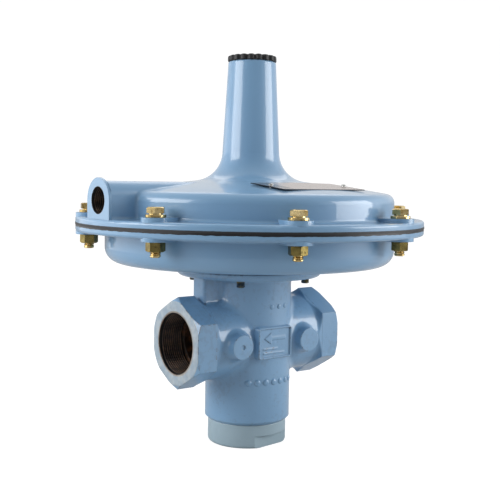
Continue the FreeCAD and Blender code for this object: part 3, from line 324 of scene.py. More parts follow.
# %% [markdown]
# To the camera the paper is white. For bounced light it is a mid grey near the floor, or its
# glow would fill every shadow from below, and it glows more the higher it stands, as a
# backdrop does that has its own light.

# %% Paper finish
CAMERA_GLOW = 1.18
CAMERA_GLOW_SHARE = 0.78
BACKDROP_GLOW = 0.80

paper_finish = bpy.data.materials.new("paper")
paper_finish.use_nodes = True
tree = paper_finish.node_tree
tree.nodes.clear()
spot = tree.nodes.new("ShaderNodeTexCoord").outputs["Object"]
fibre = noise(tree, spot, 30.0, 2.0)
grey = node(tree, "ShaderNodeBsdfDiffuse", Color=between(tree, fibre, (0.0, 1.0), (0.50, 0.56)))
backdrop = node(tree, "ShaderNodeEmission", Strength=BACKDROP_GLOW)
upward = between(tree, axis(tree, spot, "Z"), (0.02, 0.50))
bounced = mix_shader(tree, upward, grey.outputs[0], backdrop.outputs[0])
white = node(tree, "ShaderNodeBsdfDiffuse", Color=(0.95, 0.95, 0.95, 1))
glow = node(tree, "ShaderNodeEmission", Color=(1, 1, 1, 1), Strength=CAMERA_GLOW)
shown = mix_shader(tree, CAMERA_GLOW_SHARE, white.outputs[0], glow.outputs[0])
to_camera = tree.nodes.new("ShaderNodeLightPath").outputs["Is Camera Ray"]
both = mix_shader(tree, to_camera, bounced, shown)
tree.links.new(both, tree.nodes.new("ShaderNodeOutputMaterial").inputs["Surface"])
paper_mesh.materials.append(paper_finish)
print("finish", paper_finish.name, "with", len(tree.nodes), "nodes")

# %% [markdown]
# ## Shared effects as node groups
# Four effects come back in many finishes: the skin of a casting, worn edges whose band also
# carries a painted highlight, specks of rust and the dark inside of a bore. Each is a node
# group with named sockets, so that one change reaches every material that uses it.

# %% Making and using a group
def group(name, inputs, outputs):
    tree = bpy.data.node_groups.new(name, "ShaderNodeTree")
    for label, kind, default in inputs:
        socket = tree.interface.new_socket(label, in_out="INPUT", socket_type=kind)
        if default is not None:
            socket.default_value = default
    for label, kind in outputs:
        tree.interface.new_socket(label, in_out="OUTPUT", socket_type=kind)
    return tree, tree.nodes.new("NodeGroupInput").outputs, tree.nodes.new("NodeGroupOutput").inputs


def use(tree, shared, **inputs):
    made = node(tree, "ShaderNodeGroup", {"node_tree": shared}, **inputs)
    return made.outputs


NUMBER = "NodeSocketFloat"
VECTOR = ("Vector", "NodeSocketVector", None)
print("groups take", VECTOR[0], "and numbers of kind", NUMBER)

# %% [markdown]
# A sand casting has slow lumps, the grain of the sand, and here and there a pit or a small
# nub where sand broke away. The pits and nubs are a few cells of a Voronoi pattern, picked by
# the random colour of each cell.

# %% Casting skin
cast_skin, start, end = group(
    "cast_skin",
    [VECTOR, ("Lumps", NUMBER, 1.0), ("Grain", NUMBER, 1.0), ("Nubs", NUMBER, 1.0)],
    [("Height", NUMBER)],
)
tree, place = cast_skin, start["Vector"]
lumps = noise(tree, place, 70.0, 3.0)
grain = noise(tree, place, 520.0, 2.0)
cells = node(tree, "ShaderNodeTexVoronoi", Vector=place, Scale=85.0, Randomness=1.0).outputs
pick = node(tree, "ShaderNodeSeparateColor", Color=cells["Color"]).outputs
nub = times(tree, above(tree, pick[0], 0.90), ramp(tree, cells["Distance"], 0.30, 0.05))
pit = times(tree, above(tree, pick[1], 0.92), ramp(tree, cells["Distance"], 0.22, 0.05))
height = times(tree, lumps, start["Lumps"])
height = plus(tree, height, times(tree, times(tree, grain, start["Grain"]), 0.14))
relief = times(tree, minus(tree, nub, pit), start["Nubs"])
tree.links.new(plus(tree, height, times(tree, relief, 0.8)), end["Height"])
print("group", tree.name, "with", len(tree.nodes), "nodes")

# %% [markdown]
# A bevelled normal differs from the true one only near an edge, so the angle between the two
# marks the edges. Paint is thin there, and it is the first to be knocked off. The enamel also
# tints this band paler as a painted highlight.

# %% Worn edges, and the band for painted edge highlights
edge_wear_and_highlight, start, end = group(
    "edge_wear_and_highlight",
    [VECTOR, ("Radius", NUMBER, 0.001), ("Breakup", NUMBER, 0.6)],
    [("Mask", NUMBER), ("Normal", "NodeSocketVector")],
)
tree = edge_wear_and_highlight
soft = node(tree, "ShaderNodeBevel", {"samples": 4}, Radius=start["Radius"]).outputs[0]
true_normal = tree.nodes.new("ShaderNodeNewGeometry").outputs["Normal"]
bend = minus(tree, 1.0, vector_math(tree, "DOT_PRODUCT", soft, true_normal)["Value"])
rough_edge = times(tree, noise(tree, start["Vector"], 300.0, 4.0), start["Breakup"])
mask = calc(tree, "SUBTRACT", times(tree, bend, 6.0), rough_edge, clamp=True)
tree.links.new(mask, end["Mask"])
tree.links.new(soft, end["Normal"])
print("group", tree.name, "with", len(tree.nodes), "nodes")

# %% [markdown]
# Chips come in clusters. A fine noise gives the chips and a slow one says where they gather,
# and only where both are high does the mask open.

# %% Specks
specks, start, end = group(
    "specks",
    [VECTOR, ("Amount", NUMBER, 0.5), ("Size", NUMBER, 180.0)],
    [("Mask", NUMBER)],
)
tree = specks
fine = noise(tree, start["Vector"], start["Size"], 3.0)
slow = noise(tree, start["Vector"], 22.0, 1.0)
both = times(tree, fine, plus(tree, slow, 0.5))
limit = minus(tree, 0.92, times(tree, start["Amount"], 0.25))
mask = calc(tree, "MULTIPLY", minus(tree, both, limit), 30.0, clamp=True)
tree.links.new(mask, end["Mask"])
print("group", tree.name, "with", len(tree.nodes), "nodes")

# %% [markdown]
# The inside of a bore is not painted. A point is inside when its distance from the bore's
# axis is smaller than the bore's radius. `Keep` says how much each direction counts: 0 along
# the axis of a bore that goes right through, and a little for one that must end somewhere.

# %% Inside of a bore
inside_bore, start, end = group(
    "inside_bore",
    [
        VECTOR,
        ("Centre", "NodeSocketVector", None),
        ("Keep", "NodeSocketVector", None),
        ("Radius", NUMBER, 0.02),
    ],
    [("Mask", NUMBER), ("Distance", NUMBER)],
)
tree = inside_bore
apart = vector_math(tree, "SUBTRACT", start["Vector"], start["Centre"])[0]
flat = vector_math(tree, "MULTIPLY", apart, start["Keep"])[0]
length = vector_math(tree, "LENGTH", flat)["Value"]
tree.links.new(below(tree, length, start["Radius"]), end["Mask"])
tree.links.new(length, end["Distance"])


def in_bore(tree, place, bore):
    """The mask of a bore, given as (centre, keep, radius), and the distance from its axis."""
    centre, keep, radius = bore
    return use(tree, inside_bore, Vector=place, Centre=centre, Keep=keep, Radius=radius)


VENT_FACE = -163.1
VENT_HEIGHT = 22.45
vent_axis = ((0, 0, joint + VENT_HEIGHT * MM), (0, 1, 1), 11.9 * MM)
vent_bore = ((VENT_FACE * MM, 0, joint + VENT_HEIGHT * MM), (0.05, 1, 1), 11.9 * MM)
pipe_bore = ((0, 0, joint + PIPE * MM), (0, 1, 1), 28.55 * MM)
shaft_bore = ((0, 0, 0), (1, 1, 0), 34.0 * MM)
print("pipe bore", round(2 * pipe_bore[2] / MM, 1), "mm wide")

# %% [markdown]
# ## Finishes
# Each finish is one Principled shader. Numbers that are the same all over sit on the shader
# itself, and colours that vary are mixed from noise and from the shared groups.

# %% A new finish with its shader and its coordinates
def new_finish(name, **sockets):
    material = bpy.data.materials.new(name)
    material.use_nodes = True
    tree = material.node_tree
    shader = tree.nodes["Principled BSDF"]
    for key, value in sockets.items():
        shader.inputs[key.replace("_", " ")].default_value = value
    coordinates = tree.nodes.new("ShaderNodeTexCoord")
    return material, tree, shader, coordinates.outputs["Object"]


def bump(tree, shader, height, strength, distance, normal=None):
    made = node(tree, "ShaderNodeBump", Height=height, Strength=strength, Distance=distance)
    if normal is not None:
        tree.links.new(normal, made.inputs["Normal"])
    tree.links.new(made.outputs["Normal"], shader.inputs["Normal"])


BLUE = shade(128, 167, 200)
BLUE_DEEP = shade(114, 154, 188)
BARE_IRON = shade(96, 78, 66)
RUST = shade(104, 66, 40)
RUST_DARK = shade(38, 27, 21)
# A paler blue for the edge band, partly chalky paint and partly a painted highlight.
EDGE_CHALK_AND_HIGHLIGHT = shade(164, 180, 194)
COAT = 0.75
print("the enamel's blue is", [round(part, 3) for part in BLUE[:3]])

# %% [markdown]
# ## Blue enamel
# The case and the body are dipped in the same glossy blue. The tone drifts a little, the
# edges are thin and chalky and their paler tint is also a painted highlight, chips down to
# bare iron gather near the edges, and the bores are left to rust. A clear coat over a soft
# base makes the deep shine.

# %% Enamel for castings
def enamel(name, lumps, grain, nubs, wear, edge_radius, bores=(), detail=None):
    """Glossy enamel. Bores are (centre, keep, radius) of unpainted holes."""
    material, tree, shader, place = new_finish(
        name, Coat_Weight=COAT, Coat_Roughness=0.06, Coat_IOR=1.5, Roughness=0.36
    )
    tone = mix(tree, noise(tree, place, 9.0, 3.0), BLUE, BLUE_DEEP)
    height = use(tree, cast_skin, Vector=place, Lumps=lumps, Grain=grain, Nubs=nubs)["Height"]
    edges = use(tree, edge_wear_and_highlight, Vector=place, Radius=edge_radius, Breakup=0.9)
    chips = use(tree, specks, Vector=place, Amount=wear, Size=260.0)["Mask"]
    # The paler band along the edges is partly thin chalky paint and partly a painted highlight.
    tone = mix(tree, times(tree, edges["Mask"], 0.45), tone, EDGE_CHALK_AND_HIGHLIGHT)
    if detail is not None:
        tone, height = detail(tree, shader, place, tone, height)
    near_edge = ramp(tree, edges["Mask"], 0.02, 0.3)
    chipped = times(tree, chips, plus(tree, times(tree, near_edge, 0.9), 0.1))
    tone = mix(tree, chipped, tone, BARE_IRON)
    for bore in bores:
        crust = ramp(tree, noise(tree, place, 130.0, 5.0), 0.45, 0.7)
        rusty_iron = mix(tree, crust, RUST_DARK, RUST)
        tone = mix(tree, in_bore(tree, place, bore)["Mask"], tone, rusty_iron)
    tree.links.new(tone, shader.inputs["Base Color"])
    bump(tree, shader, height, 0.5, 0.0005, edges["Normal"])
    return material


print("enamel over a coat of weight", COAT)

# %% [markdown]
# The black edge of the diaphragm rubs off on the rims of both case halves, so the dark line
# is a little wider than the sheet and not quite straight. It is matt, so the clear coat is
# taken away with it.

# %% The case and its dark joint line
RIM_START = 0.160
LINE_MIDDLE = joint - 0.9 * MM
LINE_HALF = 0.0017


def dark_joint(tree, shader, place, tone, height):
    up = axis(tree, place, "Z")
    ragged = times(tree, minus(tree, noise(tree, place, 140.0, 2.0), 0.5), 0.0012)
    away = calc(tree, "ABSOLUTE", minus(tree, plus(tree, up, ragged), LINE_MIDDLE))
    reach = use(tree, inside_bore, Vector=place, Keep=(1, 1, 0), Radius=0.1)["Distance"]
    line = times(tree, above(tree, reach, RIM_START), below(tree, away, LINE_HALF))
    coat = minus(tree, COAT, times(tree, line, COAT))
    tree.links.new(coat, shader.inputs["Coat Weight"])
    return mix(tree, line, tone, shade(20, 20, 23)), height


case_enamel = enamel("case_enamel", 0.30, 0.12, 0.0, 0.35, 0.8 * MM, [vent_bore], dark_joint)
print("finish", case_enamel.name)

# %% [markdown]
# The machined faces of the two ports were painted over thinly, so they look chalky, and
# their bores start with a bare turned chamfer. Height that falls over 1.5 mm makes the chamfer.

# %% The body and its port faces
CHAMFER = 1.5 * MM


def port_faces(tree, shader, place, tone, height):
    across = calc(tree, "ABSOLUTE", axis(tree, place, "X"))
    outer = above(tree, across, (PORT_FACE - 0.4) * MM)
    apart = in_bore(tree, place, pipe_bore)["Distance"]
    rim = pipe_bore[2] + CHAMFER
    chamfer = times(tree, outer, below(tree, apart, rim))
    blotch = noise(tree, place, 120.0, 4.0)
    chalk = mix(tree, ramp(tree, blotch, 0.35, 0.7), shade(148, 166, 180), shade(174, 184, 190))
    tone = mix(tree, outer, tone, chalk)
    tone = mix(tree, chamfer, tone, mix(tree, blotch, BARE_IRON, shade(190, 186, 176)))
    slope = times(tree, minus(tree, apart, rim), 1000.0)
    dished = times(tree, slope, times(tree, chamfer, 2.0))
    coat = minus(tree, COAT, times(tree, outer, 0.45))
    tree.links.new(coat, shader.inputs["Coat Weight"])
    return tone, plus(tree, height, dished)


body_enamel = enamel(
    "body_enamel", 1.7, 1.2, 1.2, 1.35, 1.6 * MM, [pipe_bore, shaft_bore], port_faces
)
print("finish", body_enamel.name)

# %% [markdown]
# ## Thin paint on the bottom plug
# The plug was turned from bar and painted once, in a greyer blue. The paint is too thin to
# hide the lathe's rings, which a wave texture along Z gives back as a slight bump.

# %% Plug paint
def thin_paint(name, colour, deeper, turned):
    material, tree, shader, place = new_finish(
        name, Roughness=0.36, Coat_Weight=0.3, Coat_Roughness=0.12
    )
    edges = use(tree, edge_wear_and_highlight, Vector=place, Radius=0.6 * MM, Breakup=0.7)
    tone = mix(tree, noise(tree, place, 30.0, 4.0), colour, deeper)
    tone = mix(tree, times(tree, edges["Mask"], 0.5), tone, shade(96, 110, 116))
    tree.links.new(tone, shader.inputs["Base Color"])
    lathe = node(
        tree,
        "ShaderNodeTexWave",
        {"bands_direction": "Z"},
        Vector=place,
        Scale=turned,
        Distortion=0.4,
    )
    bump(tree, shader, lathe.outputs["Fac"], 0.12, 0.0001, edges["Normal"])
    return material


plug_paint = thin_paint("plug_paint", shade(160, 181, 191), shade(149, 171, 182), 900.0)
print("finish", plug_paint.name)

# %% [markdown]
# ## Platings and bare metals
# Yellow zinc is never one colour: the bath leaves clouds of straw, brass and olive, with dark
# specks where dirt sits. All metals here are made by one recipe with three tones each.

# %% Platings
def plating(name, colour, tint, dark, roughness, scale=90.0):
    material, tree, shader, place = new_finish(name, Metallic=1.0, Roughness=roughness)
    stain = noise(tree, place, scale, 4.0)
    dirt = noise(tree, place, scale * 4, 3.0)
    tone = mix(tree, ramp(tree, stain, 0.35, 0.65), shade(*colour), shade(*tint))
    tone = mix(tree, ramp(tree, dirt, 0.60, 0.75), tone, shade(*dark))
    tree.links.new(tone, shader.inputs["Base Color"])
    bump(tree, shader, dirt, 0.1, 0.0002)
    return material


zinc_yellow = plating("zinc_yellow", (228, 204, 150), (200, 170, 106), (110, 86, 50), 0.17)
# The nuts' zinc is the screws' yellow zinc darkened to olive, as painted shade for where they hang
# under the flange.
zinc_olive = plating("zinc_olive", (156, 138, 82), (112, 100, 60), (52, 46, 30), 0.26)
steel = plating("bright_steel", (196, 196, 192), (178, 178, 176), (120, 118, 114), 0.26)
screw_tip = plating("screw_tip", (120, 108, 66), (70, 88, 104), (34, 32, 26), 0.36, 160.0)
oiled_spring = plating("oiled_spring", (92, 92, 96), (72, 70, 70), (40, 38, 38), 0.34)
brass = plating("brass", (204, 168, 96), (188, 148, 80), (120, 92, 54), 0.26)
aluminium = plating("aluminium", (200, 202, 204), (184, 186, 190), (140, 140, 144), 0.30)
print("seven metals, from", zinc_yellow.name, "to", aluminium.name)

# %% [markdown]
# ## Rubber, plastic and gasket sheet
# Moulded black parts are matt, with a grain so fine that it only softens the highlight. The
# pressed fibre of the gaskets uses the same recipe with a coarser grain.

# %% Moulded parts
def moulded(name, colour, lighter, roughness, grain):
    material, tree, shader, place = new_finish(name, Roughness=roughness)
    fine = noise(tree, place, grain, 3.0)
    tree.links.new(mix(tree, fine, colour, lighter), shader.inputs["Base Color"])
    bump(tree, shader, fine, 0.2, 0.0003)
    return material


rubber = moulded("black_rubber", shade(24, 24, 26), shade(40, 40, 42), 0.55, 900.0)
cap_plastic = moulded("cap_plastic", shade(20, 19, 20), shade(32, 31, 32), 0.55, 1400.0)
fibre_sheet = moulded("fibre_sheet", shade(52, 56, 58), shade(80, 82, 80), 0.85, 700.0)
print("finishes", rubber.name, cap_plastic.name, fibre_sheet.name)

# %% [markdown]
# ## Rust on the threads
# A bare iron thread rusts, and its roots stay dark because no light gets down there. The
# distance from the bore's axis tells a crest from a root.

# %% Rusty threads
PIPE_THREAD = (28.38, 1.15)
VENT_THREAD = (11.72, 0.85)


def rusty(name, bore, root, depth):
    material, tree, shader, place = new_finish(name, Metallic=0.35, Roughness=0.5)
    apart = in_bore(tree, place, bore)["Distance"]
    crest = ramp(tree, apart, (root - depth * 0.35) * MM, (root - depth) * MM)
    crust = noise(tree, place, 170.0, 5.0)
    brown = mix(tree, ramp(tree, crust, 0.4, 0.65), shade(64, 44, 32), shade(112, 82, 58))
    tree.links.new(mix(tree, crest, shade(11, 9, 8), brown), shader.inputs["Base Color"])
    bump(tree, shader, crust, 0.25, 0.0003)
    return material


pipe_rust = rusty("pipe_thread_rust", pipe_bore, *PIPE_THREAD)
vent_rust = rusty("vent_thread_rust", vent_axis, *VENT_THREAD)
print(len(bpy.data.materials), "materials")

# %% [markdown]
# ## The nameplate's finish
# A satin metal plate with a dark border line and empty ruled fields where a maker's data
# would be stamped. No words are written: the fields are only lines, measured from the
# plate's own centre, and the cut edge of the sheet is dark.

# %% Nameplate finish
PLATE_MIDDLE = -85.0
PLATE_HALF_LENGTH = 47.0
PLATE_HALF_WIDTH = 23.0
PLATE_ROWS = (-8.0, 0.0, 8.0)


def stripe(tree, value, centre, half_width):
    """1 in a band round a value."""
    away = calc(tree, "ABSOLUTE", minus(tree, value, centre * MM))
    return below(tree, away, half_width * MM)


def either(tree, first, second):
    return calc(tree, "MAXIMUM", first, second)


plate_finish, tree, shader, place = new_finish("nameplate_metal", Metallic=1.0, Roughness=0.24)
split = node(tree, "ShaderNodeSeparateXYZ", Vector=place).outputs
along = calc(tree, "ABSOLUTE", split["X"])
across = calc(tree, "ABSOLUTE", minus(tree, split["Y"], PLATE_MIDDLE * MM))
long_lines = stripe(tree, across, PLATE_HALF_WIDTH - 3.0, 0.5)
short_lines = stripe(tree, along, PLATE_HALF_LENGTH - 3.0, 0.5)
within_length = below(tree, along, (PLATE_HALF_LENGTH - 2.5) * MM)
within_width = below(tree, across, (PLATE_HALF_WIDTH - 2.5) * MM)
frame_lines = either(tree, short_lines, long_lines)
ruled = times(tree, frame_lines, times(tree, within_length, within_width))
for row in PLATE_ROWS:
    line = stripe(tree, split["Y"], PLATE_MIDDLE + row, 0.25)
    ruled = either(tree, ruled, times(tree, line, below(tree, along, 38 * MM)))
field = times(tree, stripe(tree, split["X"], -37.0, 5.0), below(tree, across, 18 * MM))
ruled = either(tree, ruled, times(tree, field, 0.75))
long_end = above(tree, along, (PLATE_HALF_LENGTH - 0.25) * MM)
wide_end = above(tree, across, (PLATE_HALF_WIDTH - 0.25) * MM)
ruled = either(tree, ruled, either(tree, long_end, wide_end))
brushed = noise(tree, place, 240.0, 5.0, Roughness=0.7)
metal = mix(tree, brushed, shade(200, 188, 182), shade(168, 156, 152))
tree.links.new(mix(tree, ruled, metal, shade(38, 44, 52)), shader.inputs["Base Color"])
bump(tree, shader, minus(tree, times(tree, brushed, 0.1), ruled), 0.3, 0.0002)
print("finish", plate_finish.name, "with", len(tree.nodes), "nodes")

# %% [markdown]
# ## Making pieces
# A new piece is built in a bmesh, in millimetres, and turned into an object by one helper:
# it welds and cleans the mesh, marks sharp edges, gives it a finish and a place in the
# body that carries it. A second helper rolls a flat grid into any tube, dome or strip.

# %% From bmesh to piece
def smooth(bm, sharp):
    """Smooth faces, with an edge kept sharp where its faces turn by more than sharp degrees."""
    for face in bm.faces:
        face.smooth = True
    for edge in bm.edges:
        turn = edge.calc_face_angle() if len(edge.link_faces) == 2 else math.pi
        edge.smooth = turn < math.radians(sharp)


def as_object(name, bm, finish):
    mesh = bpy.data.meshes.new(name)
    bm.to_mesh(mesh)
    bm.free()
    mesh.materials.append(finish)
    made = bpy.data.objects.new(name, mesh)
    bpy.context.scene.collection.objects.link(made)
    return made


def piece(name, bm, finish, body="housing", sharp=32, outward=None):
    bmesh.ops.remove_doubles(bm, verts=bm.verts, dist=1e-4)
    bmesh.ops.dissolve_degenerate(bm, edges=bm.edges, dist=1e-4)
    bmesh.ops.recalc_face_normals(bm, faces=bm.faces)
    if outward is not None:
        wrong = [f for f in bm.faces if f.normal.dot(outward(f.calc_center_median())) < 0]
        bmesh.ops.reverse_faces(bm, faces=wrong)
    smooth(bm, sharp)
    bmesh.ops.transform(bm, matrix=drawing, verts=bm.verts)
    made = as_object(name, bm, finish)
    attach(made, body)
    print(name, len(made.data.polygons), "faces")
    return made


print("pieces are drawn in millimetres and scaled by", MM)

# %% [markdown]
# Nearly every new piece here is a flat grid that is rolled up. A turned part is the grid with
# its columns laid round a circle and its rows at the steps of a profile; a thread, a fillet
# and the bent nameplate only need another rule for where each corner goes.

# %% Rolled grids and turned parts
def roll(bm, columns, rows, place):
    """A grid of columns by rows faces, each corner moved to place(u, v) with u and v 0 to 1."""
    made = bmesh.ops.create_grid(bm, x_segments=columns, y_segments=rows, size=0.5)["verts"]
    for vert in made:
        vert.co = place(vert.co.x + 0.5, vert.co.y + 0.5)
    return made


def rings(bm, steps, profile, matrix=None):
    """A turned or many-sided shape: each entry of profile gives (radius, height) at an angle."""
    last = len(profile) - 1

    def place(u, v):
        angle = 2 * math.pi * u
        radius, height = profile[round(v * last)](angle)
        return Vector((radius * math.cos(angle), radius * math.sin(angle), height))

    made = roll(bm, steps, last, place)
    if matrix is not None:
        bmesh.ops.transform(bm, matrix=matrix, verts=made)
    return made


def at(radius, height):
    """A profile entry that is the same all the way round."""
    return lambda angle: (radius, height)


print("a ring of 48 columns and 10 rows has", 48 * 10, "faces")

# %% [markdown]
# ## Hexagons with turned corners
# A screw head is a hexagon whose corners were turned off on a lathe, which leaves an arc on
# every side. The arc is where a cone meets the flat: at each angle the hexagon has its own
# radius, and the cone reaches that radius at its own height.

# %% Profile entries for hexagons
def hexagon(flats, angle):
    """Radius of a hexagon with that size across flats, at an angle."""
    turn = (angle + math.pi / 6) % (math.pi / 3) - math.pi / 6
    return flats / 2 / math.cos(turn)


def hex_corner(flats, level, rise, inset):
    """Where a cone that starts inset from the flats, at height level, meets the hexagon."""

    def entry(angle):
        radius = hexagon(flats, angle)
        beyond = radius - (flats / 2 - inset)
        return radius, level - rise * beyond

    return entry


def hex_side(flats, level):
    return lambda angle: (hexagon(flats, angle), level)


print("a 14.3 mm hexagon is", round(2 * hexagon(14.3, math.pi / 6), 2), "mm over its corners")

# %% [markdown]
# ## Threads
# A thread is a tube whose radius goes up and down with the height, shifted by one pitch for
# each turn round. It fades out over one pitch at both ends, as a cut thread runs out.

# %% Threads, and standing shapes on a bolt circle
THREAD_ROWS_PER_TURN = 6


def thread(bm, radius, depth, pitch, bottom, top, steps=24, matrix=None):
    """A helical thread that starts at radius and is depth deep, between two heights."""
    rows = max(6, round((top - bottom) / pitch * THREAD_ROWS_PER_TURN))

    def place(u, v):
        height = bottom + (top - bottom) * v
        phase = (height / pitch - u) % 1.0
        crest = abs(2 * phase - 1)
        fade = min(1.0, min(v, 1 - v) * (top - bottom) / pitch)
        r = radius - depth * crest * fade
        angle = 2 * math.pi * u
        return Vector((r * math.cos(angle), r * math.sin(angle), height))

    made = roll(bm, steps, rows, place)
    if matrix is not None:
        bmesh.ops.transform(bm, matrix=matrix, verts=made)
    return made


def stand(circle, angle_degrees, turn_degrees):
    """Stands a small shape on a bolt circle, turned about its own axis by any amount."""
    out = Matrix.Rotation(math.radians(angle_degrees), 4, "Z") @ Matrix.Translation((circle, 0, 0))
    return out @ Matrix.Rotation(math.radians(turn_degrees), 4, "Z")


BOLT_CIRCLE = 152.9
BOLT_ANGLES = [22.5 + 45 * k for k in range(8)]
print(len(BOLT_ANGLES), "screws stand on a circle of", 2 * BOLT_CIRCLE, "mm")

# %% [markdown]
# ## The case screws
# Eight 3/8 inch screws clamp the two case halves. Each has a forged head, dished a little in
# the middle and turned off at the corners, and stands turned its own way, as it happened to
# come tight. The shank is plain where the nut hides it, and only the tip has a real thread.

# %% Case screws
CASE_FLATS = 14.3
HEAD_TURNS = [12, 41, 27, 3, 0, 15, 21, 8]
HEAD_BASE = 12.4
HEAD_HEIGHT = 6.2
NUT_BOTTOM = -18.3
SHANK_END = NUT_BOTTOM + 1
BOLT_TIP = -23.0
CORNER_SLOPE = 0.58

bm = bmesh.new()
for angle, turn in zip(BOLT_ANGLES, HEAD_TURNS):
    spot = stand(BOLT_CIRCLE, angle, turn)
    top = HEAD_BASE + HEAD_HEIGHT
    head = [
        at(0, top - 0.25),
        at(4.2, top - 0.25),
        at(5.0, top),
        at(CASE_FLATS / 2 - 0.6, top),
        hex_corner(CASE_FLATS, top - 0.35, CORNER_SLOPE, 0.0),
        hex_side(CASE_FLATS, HEAD_BASE + 1.0),
        at(5.8, HEAD_BASE + 1.0),
        at(5.8, HEAD_BASE),
    ]
    shank = [at(4.7, HEAD_BASE), at(4.7, SHANK_END), at(0, SHANK_END)]
    rings(bm, 48, head + shank, spot)
    thread(bm, 4.72, 0.75, 1.5875, BOLT_TIP + 0.9, SHANK_END, 24, spot)
    rings(bm, 24, [at(4.7, BOLT_TIP + 0.9), at(3.8, BOLT_TIP), at(0, BOLT_TIP)], spot)
screws = piece("case_screws", bm, zinc_yellow, sharp=24)
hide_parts("casing_bolts")

# %% [markdown]
# ## The case nuts
# The nuts are the same size across flats as the screws and chamfered above and below. Their
# zinc is darker, as painted shade for where they hang under the flange. Their bore is left
# open for the screw.

# %% Case nuts
NUT_TURNS = [38, 10, 22, 29, 34, 29, 24, 30]
NUT_TOP = -10.0


def nut_foot(angle):
    """The lower chamfer: the cone of hex_corner, turned upside down."""
    beyond = hexagon(CASE_FLATS, angle) - CASE_FLATS / 2
    return hexagon(CASE_FLATS, angle), NUT_BOTTOM + 0.3 + CORNER_SLOPE * beyond


bm = bmesh.new()
for angle, turn in zip(BOLT_ANGLES, NUT_TURNS):
    nut = [
        at(4.8, NUT_TOP - 0.8),
        at(5.5, NUT_TOP),
        at(CASE_FLATS / 2 - 0.3, NUT_TOP),
        hex_corner(CASE_FLATS, NUT_TOP - 0.3, CORNER_SLOPE, 0.0),
        nut_foot,
        at(CASE_FLATS / 2 - 0.3, NUT_BOTTOM),
        at(5.5, NUT_BOTTOM),
        at(4.8, NUT_BOTTOM + 0.8),
        at(4.8, NUT_TOP - 0.8),
    ]
    rings(bm, 48, nut, stand(BOLT_CIRCLE, angle, turn))
nuts = piece("case_nuts", bm, zinc_olive, sharp=24)
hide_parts("casing_nuts")

# %% [markdown]
# ## Spring washers
# Under every head sits a spring washer, one turn of square wire cut through at a slant. Each
# one lies turned its own way, as it happened to be dropped on.

# %% Spring washers
WASHER_BASE = 10.0
WASHER_TOP = 12.4
WIRE_SECTION = [
    (5.1, 0.1),
    (5.1, 0.9),
    (5.3, 1.0),
    (8.5, 1.0),
    (8.8, 0.88),
    (8.8, 0.12),
    (8.5, 0),
    (5.3, 0),
    (5.1, 0.1),
]


def washer_place(u, v):
    radius, share = WIRE_SECTION[round(v * (len(WIRE_SECTION) - 1))]
    turn = math.radians(4 + 352 * u) + math.radians(6) * (share - 0.5)
    height = WASHER_BASE + (WASHER_TOP - WASHER_BASE) * share
    return Vector((radius * math.cos(turn), radius * math.sin(turn), height))


bm = bmesh.new()
for angle, turn in zip(BOLT_ANGLES, NUT_TURNS):
    coil = roll(bm, 40, len(WIRE_SECTION) - 1, washer_place)
    bmesh.ops.transform(bm, matrix=stand(BOLT_CIRCLE, angle, turn * 7), verts=coil)
bmesh.ops.remove_doubles(bm, verts=bm.verts, dist=1e-4)
bmesh.ops.holes_fill(bm, edges=[e for e in bm.edges if e.is_boundary], sides=10)
washers = piece("spring_washers", bm, zinc_yellow, sharp=30)
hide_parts("casing_lock_washers")

# %% [markdown]
# ## Body screws
# The screws that join the case to the valve body stand inside the case. Only their tips come
# out below the body's flange, in a dark olive zinc with clouds of blue.

# %% Body screws
BODY_CIRCLE = 54.5
BODY_FLATS = 12.7
BODY_HEAD = -33.75
BODY_SHANK_END = -50.5
BODY_TIP = -56.0

bm = bmesh.new()
for angle in (45, 135, 225, 315):
    spot = stand(BODY_CIRCLE, angle, angle * 3)
    top = BODY_HEAD + 5.2
    head = [
        at(0, top),
        at(BODY_FLATS / 2 - 0.4, top),
        hex_corner(BODY_FLATS, top - 0.3, CORNER_SLOPE, 0.0),
        hex_side(BODY_FLATS, BODY_HEAD),
    ]
    shank = [at(3.9, BODY_HEAD), at(3.9, BODY_SHANK_END), at(0, BODY_SHANK_END)]
    rings(bm, 48, head + shank, spot)
    thread(bm, 3.93, 0.7, 1.4, BODY_TIP + 0.8, BODY_SHANK_END, 24, spot)
    rings(bm, 24, [at(3.9, BODY_TIP + 0.8), at(3.1, BODY_TIP), at(0, BODY_TIP)], spot)
body_screws = piece("body_screws", bm, screw_tip, sharp=24)
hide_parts("body_bolts")

# %% [markdown]
# ## Pipe threads
# The two ports have 2 inch taper pipe threads, 11.5 to the inch, and the vent has a 3/4 inch
# one, 14 to the inch. Each is a helical strip rolled inside its bore. The strip is laid along
# Z and then turned to the bore's axis.

# %% Threads in the ports and the vent
INCH = 25.4


def bore_matrix(x, height, side):
    """Lays a shape that stands along Z along the pipe instead, with its top at the face."""
    turn = Matrix.Rotation(side * math.pi / 2, 4, "Y")
    return Matrix.Translation((x, 0, height)) @ turn


def toward_axis(height):
    """The direction from a point of a bore's wall to the bore's axis."""
    return lambda c: Vector((0, -c.y, height - c.z))


for side, name in ((-1, "outlet_thread"), (1, "inlet_thread")):
    bm = bmesh.new()
    lay = bore_matrix(side * PORT_FACE, PIPE, side)
    thread(bm, *PIPE_THREAD, INCH / 11.5, -25.9, -0.9, 72, lay)
    piece(name, bm, pipe_rust, sharp=60, outward=toward_axis(PIPE))
bm = bmesh.new()
lay = bore_matrix(VENT_FACE, VENT_HEIGHT, -1)
thread(bm, *VENT_THREAD, INCH / 14, -19.9, -0.5, 48, lay)
piece("vent_thread", bm, vent_rust, sharp=60, outward=toward_axis(VENT_HEIGHT))

# %% [markdown]
# ## Cast fillets
# A foundry rounds every inner corner. The round between two cylinders is the track of a ball
# that rolls along both: its centre keeps the ball's radius from each of them, and the strip
# runs from one point of touch to the other round that centre.

# %% Rolling a ball round the necks
BALL = 8.0


